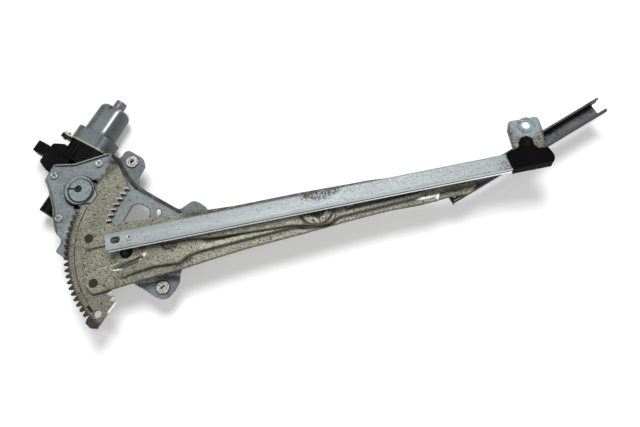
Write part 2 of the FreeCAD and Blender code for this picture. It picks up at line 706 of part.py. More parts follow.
def link_half(name, label, level, tip, direction, dip):
    """One half, from a round eye at the cross pivot to a round tip that carries a shoe."""
    body = new_body(name)
    span = direction * size("half_span")
    tip_radius = size("link_tip_radius")
    eye = size("link_eye_radius")
    flare = size("link_tip_radius") + 4.5
    half = [(-direction * eye, eye), (0, eye), (direction * 30, flare), (direction * 120, flare - 1),
            (span - direction * 22, tip_radius), (span + direction * tip_radius, tip_radius)]
    points = half + [(x, -y) for x, y in half[::-1]]
    corners = [eye - 0.1, 40, 30, 60, 60, tip_radius - 0.1]
    drawing = sketch_on(body, name + "Outline", level)
    add_outline(drawing, [on_link(*p) for p in points], corners + corners[::-1])
    pad(body, drawing, "link_thick")
    face = level if dip else level + " + link_thick"
    dish = sketch_on(body, name + "Dish", face)
    add_circle(dish, CROSS, "link_dish_radius")
    pocket(body, dish, "link_thick * 0.65", upward=dip, slope="0 - bead_slope")
    bead = sketch_on(body, name + "Bead", face)
    add_outline(bead, slot_points(on_link(direction * 34, 0), on_link(direction * 128, 0), 4.5), 4.4)
    pocket(body, bead, "link_thick / 2", upward=dip)
    holes = sketch_on(body, name + "Holes", level)
    add_circle(holes, CROSS, "cross_rivet_radius")
    add_circle(holes, tip, "stud_tail_radius")
    pocket(body, holes, "link_thick", upward=True)
    return keep(body, label)


def cross_pin():
    spacer = disc("CrossSpacer", CROSS, "cross_spacer_radius", "lower_link_top",
                  "upper_link_low - lower_link_top")
    rivet = disc("CrossRivet", CROSS, "cross_rivet_radius", "lower_link_low",
                 "upper_link_top - lower_link_low")
    head = disc("CrossHead", CROSS, "cross_rivet_radius + 3", "lower_link_low - 1.2", "1.2")
    cap = disc("CrossCap", CROSS, "cross_rivet_radius + 2", "upper_link_top", "0.25")
    return keep(fused("CrossPin", [spacer, rivet, head, cap]), "cross_pin")


# Guide channels: a C section whose lips hold the shoes

STOP_PLACE = 28.5

def channel_section(body, name, low, opening_down, start, opening):
    """The C section across the channel, drawn at the channel's start."""
    half = size("channel_width") / 2
    high = size("channel_height")
    wall = size("channel_sheet")
    slot = size(opening) / 2
    base = size(low)
    points = [(-half, 0), (-half, high), (-slot, high), (-slot, high - wall), (-half + wall, high - wall),
              (-half + wall, wall), (half - wall, wall), (half - wall, high - wall), (slot, high - wall),
              (slot, high), (half, high), (half, 0)]
    radii = [2.2, 2.2, 0, 0, 0.6, 0.6, 0.6, 0.6, 0, 0, 2.2, 2.2]
    if opening_down:
        points = [(y, high - z) for y, z in points]
    drawing = sketch_on(body, name, start, role="YZ_Plane")
    add_outline(drawing, [(y, z + base) for y, z in points], radii)
    return drawing


def lift_channel():
    body = new_body("LiftChannel")
    drawing = channel_section(body, "LiftSection", "lift_low", True, "lift_left", "lift_slot")
    pad(body, drawing, "lift_length")
    start = size("lift_left")
    holes = sketch_on(body, "LiftHoles", "lift_top")
    add_outline(holes, slot_points((start + 10.1, 0), (start + 13.6, 0), 4.1), 4.0)
    add_circle(holes, (start + STOP_PLACE, 0.0), 2.6)
    pocket(body, holes, "channel_sheet")
    body.Placement = Placement(Vector(0, UPPER_TIP[1], 0), Rotation())
    return keep(body, "lift_channel")


def equalizer_channel():
    body = new_body("EqualizerChannel")
    drawing = channel_section(body, "ShortSection", "short_low", False, "short_left", "short_slot")
    pad(body, drawing, "short_length")
    end = size("short_left") + size("short_length")
    inner = size("channel_width") / 2 - size("channel_sheet")
    # The web is cut back between the flanges at the right end
    drawing = sketch_on(body, "WebNotch", "short_low")
    add_outline(drawing, [(end - 7, -inner), (end + 3, -inner), (end + 3, inner), (end - 7, inner)],
                [2.5, 0, 0, 2.5])
    pocket(body, drawing, "channel_sheet + 0.02", upward=True)
    holes = sketch_on(body, "ShortHoles", "short_low")
    add_circle(holes, (size("short_left") + 7, 0), 2.6)
    add_circle(holes, (end - 106, 0), 2.6)
    pocket(body, holes, "channel_sheet", upward=True)
    drawing = sketch_on(body, "Dimple", "short_low + channel_sheet")
    add_circle(drawing, (end - 80, 0), 2.4)
    pocket(body, drawing, "channel_sheet / 2")
    body.Placement = Placement(Vector(LOWER_TIP[0], LOWER_TIP[1], 0),
                               Rotation(Vector(0, 0, 1), size("short_bearing")))
    return keep(body, "equalizer_channel")


def glide_shoe(name, label, place, low, bearing):
    """A nylon block that slides between web and lips and turns on the stud's neck."""
    body = new_body(name)
    half = size("shoe_length") / 2
    side = size("channel_width") / 2 - size("channel_sheet") - size("shoe_play")
    drawing = sketch_on(body, name + "Block", low + " + shoe_play")
    add_outline(drawing, [(-half, -side), (half, -side), (half, side), (-half, side)], 3.0)
    add_circle(drawing, (0, 0), "stud_radius + fit_clearance")
    pad(body, drawing, "channel_height - 2 * channel_sheet - 2 * shoe_play")
    body.Placement = Placement(Vector(place[0], place[1], 0), Rotation(Vector(0, 0, 1), bearing))
    return keep(body, label)


def channel_stop():
    centre = (size("lift_left") + STOP_PLACE, UPPER_TIP[1])
    shank = disc("StopShank", centre, "2.6", "lift_top - channel_sheet - 3", "channel_sheet + 3")
    head = disc("StopHead", centre, "3.6", "lift_top", "1.2")
    return keep(fused("ChannelStop", [shank, head]), "channel_stop")


# Bracket and pad are drawn about the channel's end

BOLT_PLACE = (-4.9, 39.1)


def end_bracket():
    body = new_body("EndBracket")
    drawing = sketch_on(body, "BracketPlate", "lift_top")
    add_outline(drawing, [(-25, -7.2), (-1.5, -7.2), (9.5, 11.5), (12.4, 29.8), (10.8, 47.3), (-5.5, 47.9),
                          (-7.6, 44.9), (-10, 47.6), (-22, 48.3), (-25.5, 43.8)],
                [2, 2, 4, 20, 5, 1.2, 1.5, 1.2, 6, 20])
    pad(body, drawing, "bracket_thick")
    for line, name in (([(-25.3, 41.8), (-24.7, 13.8)], "LeftFlange"),
                       ([(10.2, 14.8), (12.5, 29.8), (11.5, 41.8)], "RightFlange")):
        drawing = sketch_on(body, name, "lift_top")
        add_outline(drawing, line + shifted_line(line, size("bracket_thick"))[::-1])
        pad(body, drawing, "9.5", upward=False)
    low = size("lift_top") + size("bracket_thick")
    round_edges(body, "1", lambda edge: abs(edge.BoundBox.ZMin - low) < 1e-4 and edge.BoundBox.YMax > 16)
    drawing = sketch_on(body, "BoltRing", "lift_top + bracket_thick")
    add_circle(drawing, BOLT_PLACE, 9.5)
    add_circle(drawing, BOLT_PLACE, 7.6)
    pad(body, drawing, "0.6")
    drawing = sketch_on(body, "BoltHole", "lift_top + bracket_thick + 2")
    add_circle(drawing, BOLT_PLACE, 4.6)
    pocket(body, drawing, "bracket_thick + 3")
    body.Placement = Placement(Vector(CHANNEL_END[0], CHANNEL_END[1], 0), Rotation())
    return keep(body, "end_bracket")


def felt_pad():
    body = new_body("FeltPad")
    front = -11.8
    drawing = sketch_on(body, "PadTop", "lift_top + bracket_thick")
    add_outline(drawing, [(-33, front), (14, front), (16.4, -7), (16.2, -2.5), (12.3, 7.4), (2.0, 8.3), (-2.0, 12.6),
                          (-2.4, 21.2), (-8.3, 25.8), (-15.6, 24.7), (-18.9, 20), (-20, 13.8), (-36.5, 9.3)],
                [3, 2, 3, 4, 3, 4, 5, 3, 5, 5, 3, 4, 2])
    pad(body, drawing, "pad_thick")
    side = -size("channel_width") / 2
    drawing = sketch_on(body, "PadFront", "lift_low")
    add_outline(drawing, boxed((-32.5, front), (13.5, side)))
    pad(body, drawing, "lift_top - lift_low + bracket_thick")
    drawing = sketch_on(body, "PadEnd", "lift_low")
    add_outline(drawing, [(0, front), (13.5, front), (13.7, 3.8), (0, 3.8)])
    pad(body, drawing, "lift_top - lift_low")
    body.Placement = Placement(Vector(CHANNEL_END[0], CHANNEL_END[1], 0), Rotation())
    return keep(body, "felt_pad")


# Gear housing, motor and the parts inside, drawn in a frame whose X is the motor's axis

FLANGE_SCREWS = ((65.0, -10.0), (0.5, -29.0))
FLANGE_ROOTS = ((50.0, -14.0), (12.0, -26.0))


def gear_housing():
    body = new_body("GearHousing")
    under = size("plate_under")
    wheel_space = size("wheel_radius") + 2.0
    drawing = sketch_on(body, "Drum", "housing_low")
    add_circle(drawing, (0, 0), wheel_space + size("housing_wall"))
    pad(body, drawing, "housing_depth - plate_thick")
    for number, bearing in enumerate(SCREW_BEARINGS):
        place = polar(size("screw_circle"), bearing)
        drawing = sketch_on(body, "ScrewEar%d" % number, "0 - 14")
        add_outline(drawing, slot_points(polar(20, bearing), place, 6.4), 6.3)
        pad(body, drawing, "14 - plate_thick")
    # Worm tube, then the wider chamber for brushes and commutator
    drawing = sketch_on(body, "WormTube", -42.0, role="YZ_Plane")
    add_circle(drawing, WORM_AXIS, 10.2)
    pad(body, drawing, "42 + flange_place - flange_thick")
    drawing = sketch_on(body, "BrushChamber", 30.0, role="YZ_Plane")
    add_outline(drawing, boxed((8, -34), (55, -3.4)), 7)
    pad(body, drawing, "flange_place - flange_thick - 30")
    drawing = sketch_on(body, "Flange", "flange_place - flange_thick", role="YZ_Plane")
    add_outline(drawing, boxed((2.5, -36.5), (60, -2.8)), 15)
    pad(body, drawing, "flange_thick")
    for number, (root, place) in enumerate(zip(FLANGE_ROOTS, FLANGE_SCREWS)):
        drawing = sketch_on(body, "FlangeEar%d" % number, "flange_place - flange_thick", role="YZ_Plane")
        add_outline(drawing, slot_points(root, place, 6.0), 5.9)
        pad(body, drawing, "flange_thick")
    drawing = sketch_on(body, "Electronics", -28.0)
    add_outline(drawing, [(4, 40), (42, 40), (44, 58), (38, 72), (10, 74), (4, 60)], 4)
    pad(body, drawing, "22")
    for number, place in enumerate((38.0, 44.0, 50.0)):
        drawing = sketch_on(body, "Rib%d" % number, -7.0)
        add_outline(drawing, boxed((33, place - 0.8), (size("flange_place") - 3, place + 0.8)))
        pad(body, drawing, "5.4")
    # Hollows
    drawing = sketch_on(body, "WheelSpace", "housing_low")
    add_circle(drawing, (0, 0), wheel_space)
    pocket(body, drawing, "housing_depth - 8", upward=True)
    drawing = sketch_on(body, "ShaftBore", "plate_under")
    add_circle(drawing, (0, 0), "pinion_shaft_radius + fit_clearance")
    pocket(body, drawing, "8")
    drawing = sketch_on(body, "WormBore", -39.0, role="YZ_Plane")
    add_circle(drawing, WORM_AXIS, 8.0)
    pocket(body, drawing, "39 + flange_place", upward=True)
    drawing = sketch_on(body, "BrushBore", 36.0, role="YZ_Plane")
    add_circle(drawing, WORM_AXIS, 12.5)
    pocket(body, drawing, "flange_place - 36", upward=True)
    holes = sketch_on(body, "ScrewBores", "plate_under")
    for bearing in SCREW_BEARINGS:
        add_circle(holes, polar(size("screw_circle"), bearing), "screw_radius")
    pocket(body, holes, "12 - plate_thick")
    holes = sketch_on(body, "FlangeHoles", "flange_place", role="YZ_Plane")
    for place in FLANGE_SCREWS:
        add_circle(holes, place, 2.0)
    pocket(body, holes, "flange_thick")
    body.Placement = MOTOR_FRAME
    return keep(body, "gear_housing")


def gear_cover():
    body = new_body("GearCover")
    outer = size("wheel_radius") + 2.0 + size("housing_wall")
    drawing = sketch_on(body, "CoverDisc", "housing_low - 2")
    add_circle(drawing, (0, 0), outer)
    pad(body, drawing, "2")
    drawing = sketch_on(body, "CoverHub", "housing_low")
    add_circle(drawing, (0, 0), "pinion_shaft_radius + 3")
    pad(body, drawing, "3")
    drawing = sketch_on(body, "CoverBore", "housing_low - 0.5")
    add_circle(drawing, (0, 0), "pinion_shaft_radius + fit_clearance")
    pocket(body, drawing, "4", upward=True)
    body.Placement = MOTOR_FRAME
    return keep(body, "gear_cover")


def connector_socket():
    body = new_body("ConnectorSocket")
    drawing = sketch_on(body, "SocketShell", -20.5)
    add_outline(drawing, boxed((18.5, 73.6), (33.5, 91)), 1.5)
    pad(body, drawing, "14")
    drawing = sketch_on(body, "SocketMouth", -91.0, role="XZ_Plane")
    add_outline(drawing, boxed((20.1, -18.9), (31.9, -8.1)), 1.0)
    pocket(body, drawing, "14", upward=True)
    body.Placement = MOTOR_FRAME
    return keep(body, "connector_socket")


def connector_pins():
    pieces = []
    for number, place in enumerate((22.6, 26.0, 29.4)):
        blade = doc.addObject("Part::Box", "Blade%d" % number)
        blade.Length, blade.Width, blade.Height = 0.8, 9.0, 1.4
        blade.Placement = MOTOR_FRAME.multiply(Placement(Vector(place - 0.4, 77.0, -14.2), Rotation()))
        pieces.append(blade)
    return keep(group("ConnectorPins", pieces), "connector_pins")


def motor_can():
    body = new_body("MotorCan")
    middle = size("worm_offset")
    depth = size("motor_axis")

    def section(name, start, width, thick, radius):
        drawing = sketch_on(body, name, start, role="YZ_Plane")
        add_outline(drawing, boxed((middle - width / 2, depth - thick / 2),
                                   (middle + width / 2, depth + thick / 2)), radius)
        return drawing

    width, thick = size("can_width"), size("can_thick")
    wall = size("can_wall")
    base_width = size("can_base_width")
    pad(body, section("CanBase", "flange_place", base_width, thick, 14.0), "can_step_place - flange_place - 3")
    pad(body, section("CanBarrel", "flange_place", width, thick - 2, 15.0), "can_end_place - flange_place",
        slope="0 - can_draft")
    for number, (root, place) in enumerate(zip(FLANGE_ROOTS, FLANGE_SCREWS)):
        flange = sketch_on(body, "CanFlange%d" % number, "flange_place", role="YZ_Plane")
        add_outline(flange, slot_points(root, place, 6.0), 5.9)
        pad(body, flange, "can_wall")
    end = size("can_end_place")
    round_edges(body, "8", lambda edge: abs(edge.BoundBox.XMin - end) < 1e-4
                and abs(edge.BoundBox.XMax - end) < 1e-4)
    boss = sketch_on(body, "CanBoss", "can_end_place", role="YZ_Plane")
    add_circle(boss, WORM_AXIS, "boss_radius")
    pad(body, boss, "boss_length")
    round_edges(body, "1.2", lambda edge: edge.BoundBox.XMin > end + size("boss_length") - 0.01)
    pocket(body, section("CanHollow", "flange_place", width - 2 * wall, thick - 2 - 2 * wall, 13.0),
           "can_end_place - flange_place - 3", upward=True, slope="0 - can_draft")
    boss = sketch_on(body, "BossHollow", "can_end_place - 4", role="YZ_Plane")
    add_circle(boss, WORM_AXIS, 5.0)
    pocket(body, boss, "boss_length + 2", upward=True)
    holes = sketch_on(body, "CanFlangeHoles", "flange_place", role="YZ_Plane")
    for place in FLANGE_SCREWS:
        add_circle(holes, place, 2.0)
    pocket(body, holes, "can_wall", upward=True)
    body.Placement = MOTOR_FRAME
    return keep(body, "motor_can")


def axial(name, centre, radius, start, length):
    """A cylinder along the motor's axis, given in the motor's frame."""
    solid = doc.addObject("Part::Cylinder", name)
    solid.setExpression("Radius", level_expression(radius))
    solid.setExpression("Height", level_expression(length))
    across = Placement(Vector(start, centre[0], centre[1]), Rotation(Vector(0, 1, 0), 90))
    solid.Placement = MOTOR_FRAME.multiply(across)
    return solid


def can_screws():
    pieces = []
    flange = size("flange_place")
    wall = size("can_wall")
    for number, place in enumerate(FLANGE_SCREWS):
        head = axial("CanScrewHead%d" % number, place, "3.6", flange + wall, "3")
        shank = axial("CanScrewShank%d" % number, place, "2", flange - size("flange_thick") - 2,
                      "flange_thick + can_wall + 2")
        pieces.append(fused("CanScrew%d" % number, [head, shank]))
    return keep(group("CanScrews", pieces), "can_screws")


def armature():
    shaft = axial("ShaftRod", WORM_AXIS, "shaft_radius", -37.0, "37 + can_end_place + 5")
    worm = axial("Worm", WORM_AXIS, "worm_radius", -17.0, "34")
    keep(fused("ArmatureShaft", [shaft, worm]), "armature_shaft")
    core = axial("CoreStack", WORM_AXIS, "core_radius", 62.0, "40")
    core_bore = axial("CoreBore", WORM_AXIS, "shaft_radius", 61.0, "42")
    keep(cut("ArmatureCore", core, core_bore), "armature_core")
    segments = axial("Segments", WORM_AXIS, "8", 42.0, "14")
    segments_bore = axial("SegmentsBore", WORM_AXIS, "shaft_radius", 41.0, "16")
    keep(cut("Commutator", segments, segments_bore), "commutator")


def inner_parts():
    """Magnets, brush holder and shaft bushes, all fixed in can and housing."""
    pieces = []
    for number, side in enumerate((-1, 1)):
        ring = axial("MagnetOuter%d" % number, WORM_AXIS, "can_width / 2 - can_wall - 2", 60.0, "44")
        bore = axial("MagnetBore%d" % number, WORM_AXIS, "core_radius + 0.8", 59.0, "46")
        keeper = doc.addObject("Part::Box", "MagnetKeeper%d" % number)
        keeper.Length, keeper.Width, keeper.Height = 50, 12, 20
        start = size("worm_offset") + (10.0 if side > 0 else -22.0)
        keeper.Placement = MOTOR_FRAME.multiply(
            Placement(Vector(58, start, size("motor_axis") - 10), Rotation()))
        shell = cut("MagnetRing%d" % number, ring, bore)
        magnet = doc.addObject("Part::Common", "Magnet%d" % number)
        magnet.Base, magnet.Tool = shell, keeper
        pieces.append(magnet)
    keep(group("Magnets", pieces), "magnets")
    holder = axial("HolderRing", WORM_AXIS, "12.4", 48.0, "6")
    holder_bore = axial("HolderBore", WORM_AXIS, "8.6", 47.0, "8")
    keep(cut("BrushHolder", holder, holder_bore), "brush_holder")
    bushes = []
    for number, (start, length, radius) in enumerate(((-37.0, "8", "8"), (29.0, "6", "8"),
                                                      (size("can_end_place") - 3, "8", "5"))):
        outer = axial("BushRing%d" % number, WORM_AXIS, radius, start, length)
        bore = axial("BushRingBore%d" % number, WORM_AXIS, "shaft_radius + fit_clearance", start - 1,
                     length + " + 2")
        bushes.append(cut("ShaftBush%d" % number, outer, bore))
    keep(group("ShaftBushes", bushes), "shaft_bushes")


def pinion_shaft():
    body = new_body("PinionShaft")
    teeth = int(size("pinion_teeth"))
    tip = PINION_PITCH_RADIUS + MODULE * 0.95
    root = PINION_PITCH_RADIUS - MODULE * 1.2
    facing = 180.0 + size("pinion_bearing")
    points = []
    for number in range(teeth):
        middle = facing + (number + 0.5) * 360.0 / teeth
        for radius, half_width, side in ((root, 1.7, -1), (PINION_PITCH_RADIUS, 1.35, -1), (tip, 0.6, -1),
                                         (tip, 0.6, 1), (PINION_PITCH_RADIUS, 1.35, 1), (root, 1.7, 1)):
            points.append(polar(radius, middle + side * math.degrees(math.asin(half_width / radius))))
    drawing = sketch_on(body, "PinionTeeth", "plate_under + 0.3")
    add_outline(drawing, points)
    pad(body, drawing, "plate_thick - 0.3 + sector_gap + sector_thick + 0.6")
    drawing = sketch_on(body, "PinionJournal", "0")
    add_circle(drawing, (0, 0), "pinion_journal_radius")
    pad(body, drawing, "dome_height - 1.8")
    drawing = sketch_on(body, "PinionShank", "housing_low + 0.5")
    add_circle(drawing, (0, 0), "pinion_shaft_radius")
    pad(body, drawing, "housing_depth - 0.5")
    body.Placement = Placement(Vector(PINION[0], PINION[1], 0), Rotation())
    return keep(body, "pinion_shaft")


def worm_wheel():
    rim = disc("WheelRim", PINION, "wheel_radius", "motor_axis - wheel_thick / 2", "wheel_thick")
    bore = disc("WheelBore", PINION, "pinion_shaft_radius", "motor_axis - wheel_thick",
                "2 * wheel_thick")
    return keep(cut("WormWheel", rim, bore), "worm_wheel")


def build():
    base_plate()
    weld_nuts()
    motor_screws()
    main_pivot_pin()
    sector_gear()
    main_arm()
    sector_rivets()
    arm_bush()
    link_half("UpperLink", "equalizer_arm_upper", "upper_link_low", UPPER_TIP, -1, False)
    link_half("LowerLink", "equalizer_arm_lower", "lower_link_low", LOWER_TIP, 1, True)
    cross_pin()
    stud("ArmStud", "arm_stud", ARM_TIP, "arm_top", "arm_low", "lift_low", "lift_neck")
    stud("UpperStud", "upper_stud", UPPER_TIP, "upper_link_top", "upper_link_low", "lift_low", "lift_neck")
    stud("LowerStud", "lower_stud", LOWER_TIP, "lower_link_low", "lower_link_top", "short_top",
         "short_neck")
    glide_shoe("ArmShoe", "arm_shoe", ARM_TIP, "lift_low + channel_sheet", 0.0)
    glide_shoe("UpperShoe", "upper_shoe", UPPER_TIP, "lift_low + channel_sheet", 0.0)
    glide_shoe("LowerShoe", "lower_shoe", LOWER_TIP, "short_low + channel_sheet", size("short_bearing"))
    lift_channel()
    channel_stop()
    end_bracket()
    felt_pad()
    equalizer_channel()
    gear_housing()
    gear_cover()
    connector_socket()
    connector_pins()
    motor_can()
    can_screws()
    armature()
    inner_parts()
    pinion_shaft()
    worm_wheel()


build()
doc.recompute()
for item in doc.Objects:
    if "Invalid" in item.State or "Error" in item.State:
        raise RuntimeError("failed: " + item.Name)
for node in nodes:
    if node.Shape.isNull() or not node.Shape.isValid() or not node.Shape.Solids:
        raise RuntimeError("bad shape: " + node.Label)

os.makedirs("parts", exist_ok=True)
for node in nodes:
    node.Shape.exportStep("parts/" + node.Label + ".step")
    print(node.Label, len(node.Shape.Solids), round(node.Shape.Volume))
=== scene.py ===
"""Looks of the window regulator: materials, small details, floor, light and camera."""
import bpy
import bmesh
import json
import math
from mathutils import Matrix, Vector, noise

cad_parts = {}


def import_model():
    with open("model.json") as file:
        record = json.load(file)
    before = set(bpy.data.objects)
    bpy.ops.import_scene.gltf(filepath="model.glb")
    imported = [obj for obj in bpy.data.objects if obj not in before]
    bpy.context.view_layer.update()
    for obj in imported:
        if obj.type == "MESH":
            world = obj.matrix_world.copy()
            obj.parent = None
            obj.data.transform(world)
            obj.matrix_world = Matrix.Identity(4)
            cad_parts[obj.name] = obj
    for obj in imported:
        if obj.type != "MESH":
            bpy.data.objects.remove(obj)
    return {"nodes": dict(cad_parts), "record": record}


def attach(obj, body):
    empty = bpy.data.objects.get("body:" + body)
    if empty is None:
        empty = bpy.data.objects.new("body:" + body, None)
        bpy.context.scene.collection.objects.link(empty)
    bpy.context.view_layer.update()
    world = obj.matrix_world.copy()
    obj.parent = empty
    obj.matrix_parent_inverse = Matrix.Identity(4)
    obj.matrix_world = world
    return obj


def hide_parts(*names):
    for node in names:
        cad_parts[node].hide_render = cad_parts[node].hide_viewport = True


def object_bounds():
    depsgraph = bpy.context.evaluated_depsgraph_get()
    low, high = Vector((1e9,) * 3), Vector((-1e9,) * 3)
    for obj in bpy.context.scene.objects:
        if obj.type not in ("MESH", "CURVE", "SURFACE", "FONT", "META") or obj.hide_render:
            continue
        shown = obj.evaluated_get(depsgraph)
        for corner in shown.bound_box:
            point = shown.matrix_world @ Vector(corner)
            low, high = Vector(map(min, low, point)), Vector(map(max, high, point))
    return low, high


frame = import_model()
cad_box = [list(corner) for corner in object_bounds()]
nodes = frame["nodes"]
joints = {joint["name"]: joint for joint in frame["record"]["behaviour"]["joints"]}


def joint_place(name):
    """Where a joint is as seen from above, in metres."""
    x, y, _ = joints[name]["pos_m"]
    return (x, y, 0.0)


def joint_turn(name):
    """The direction of a joint's axis as an angle about Z."""
    x, y, _ = joints[name]["axis"]
    return math.atan2(y, x)


# Places and turns from the joints
CROSS = joint_place("equalizer_pivot")
PINION = joint_place("pinion_turn")
RAIL = joint_place("lower_shoe_turn")
ARM_TIP = joint_place("arm_shoe_turn")
RAIL_TURN = joint_turn("equalizer_channel_slide")
MOTOR_TURN = joint_turn("armature_turn")
FOLD = math.atan2(ARM_TIP[1], ARM_TIP[0])

# Places on the pieces, in metres, and the turn of the slit in the pinion's dome
DOME_TOP = (-0.10067, 0.08813, 0.0)
LANCE_TURN = math.radians(165.8)
STOP = (-0.0420, 0.0102, 0.0)
NUTS = ((-0.0375, 0.1185), (-0.0175, -0.0475), (0.0360, 0.0255))
BOLT_HOLE = (0.4306, 0.0493, 0.0276)
PLATE_CORNER = (-0.056, 0.121, 0.0)
PLATE_SCRAPE = (-0.1200, 0.0470)
BELOW_ARM_HOLE = (-0.0520, 0.0025)
ARM_GRIT = (0.0135, -0.0262)
TAB_CORNER, TAB_EDGE = (0.3164, -0.0083, 0.0055), (0.3044, -0.0067)
BLIND_HOLE = (-0.1017, -0.0590, 0.002)
BESIDE_STOP = (-0.030, 0.0051, 0.0256)
BESIDE_PAD = (0.396, 0.0060, 0.0256)
RAIL_GREASE = ((0.5130, 0.0670), (0.4620, 0.0440))
CAN_SPOT = (-0.0568, 0.1965, -0.003)
FELT_WORN = (0.4275, 0.0290, 0.0295)

# Grease on the lift channel over the crossing: place, reach
SMEARS = (((0.1830, 0.0175, 0.0256), 0.0125), ((0.168, 0.0165, 0.0256), 0.0070),
          ((0.176, 0.0215, 0.0250), 0.0100), ((0.197, 0.0190, 0.0256), 0.0080))

# Marks on the main arm, among them painted light and shade: place, turn in degrees, half length, half width,
# softness, strength, colour
ARM_MARKS = (
    # Painted highlight on the lit edge of the rivet panel
    ((-0.0801, -0.0141), 5.7, 0.0125, 0.0010, 0.40, 1.0, (0.50, 0.50, 0.42)),
    # Painted light and shade of the short bead: lit upper slope, shaded floor, lit right end and lit lower
    # corner
    ((-0.0530, -0.0108), 8.6, 0.0165, 0.0019, 0.35, 1.0, (0.44, 0.43, 0.34)),
    ((-0.0537, -0.0154), 5.2, 0.0172, 0.0038, 0.15, 1.0, (0.125, 0.130, 0.120)),
    ((-0.0335, -0.0107), 42.3, 0.0072, 0.0024, 0.35, 1.0, (0.92, 0.88, 0.76)),
    ((-0.0653, -0.0200), -10.6, 0.0070, 0.0012, 0.40, 1.0, (0.80, 0.84, 0.66)),
    # A brown and a dark spot left of the pivot
    ((-0.0340, -0.0044), 20.0, 0.0040, 0.0024, 0.50, 0.8, (0.42, 0.26, 0.23)),
    ((-0.0320, 0.0002), 0.0, 0.0050, 0.0026, 0.50, 0.8, (0.045, 0.033, 0.028)),
    # A painted highlight right of the crossing
    ((0.2138, 0.0019), 3.0, 0.0050, 0.0016, 0.40, 1.0, (0.92, 0.94, 0.84)),
)

# Colour sockets of the mix node
MIX_FIRST, MIX_SECOND, MIX_RESULT = 6, 7, 2

# Radius of the rounding that every edge shows in the light
SOFT_EDGE = 0.0004


# Materials

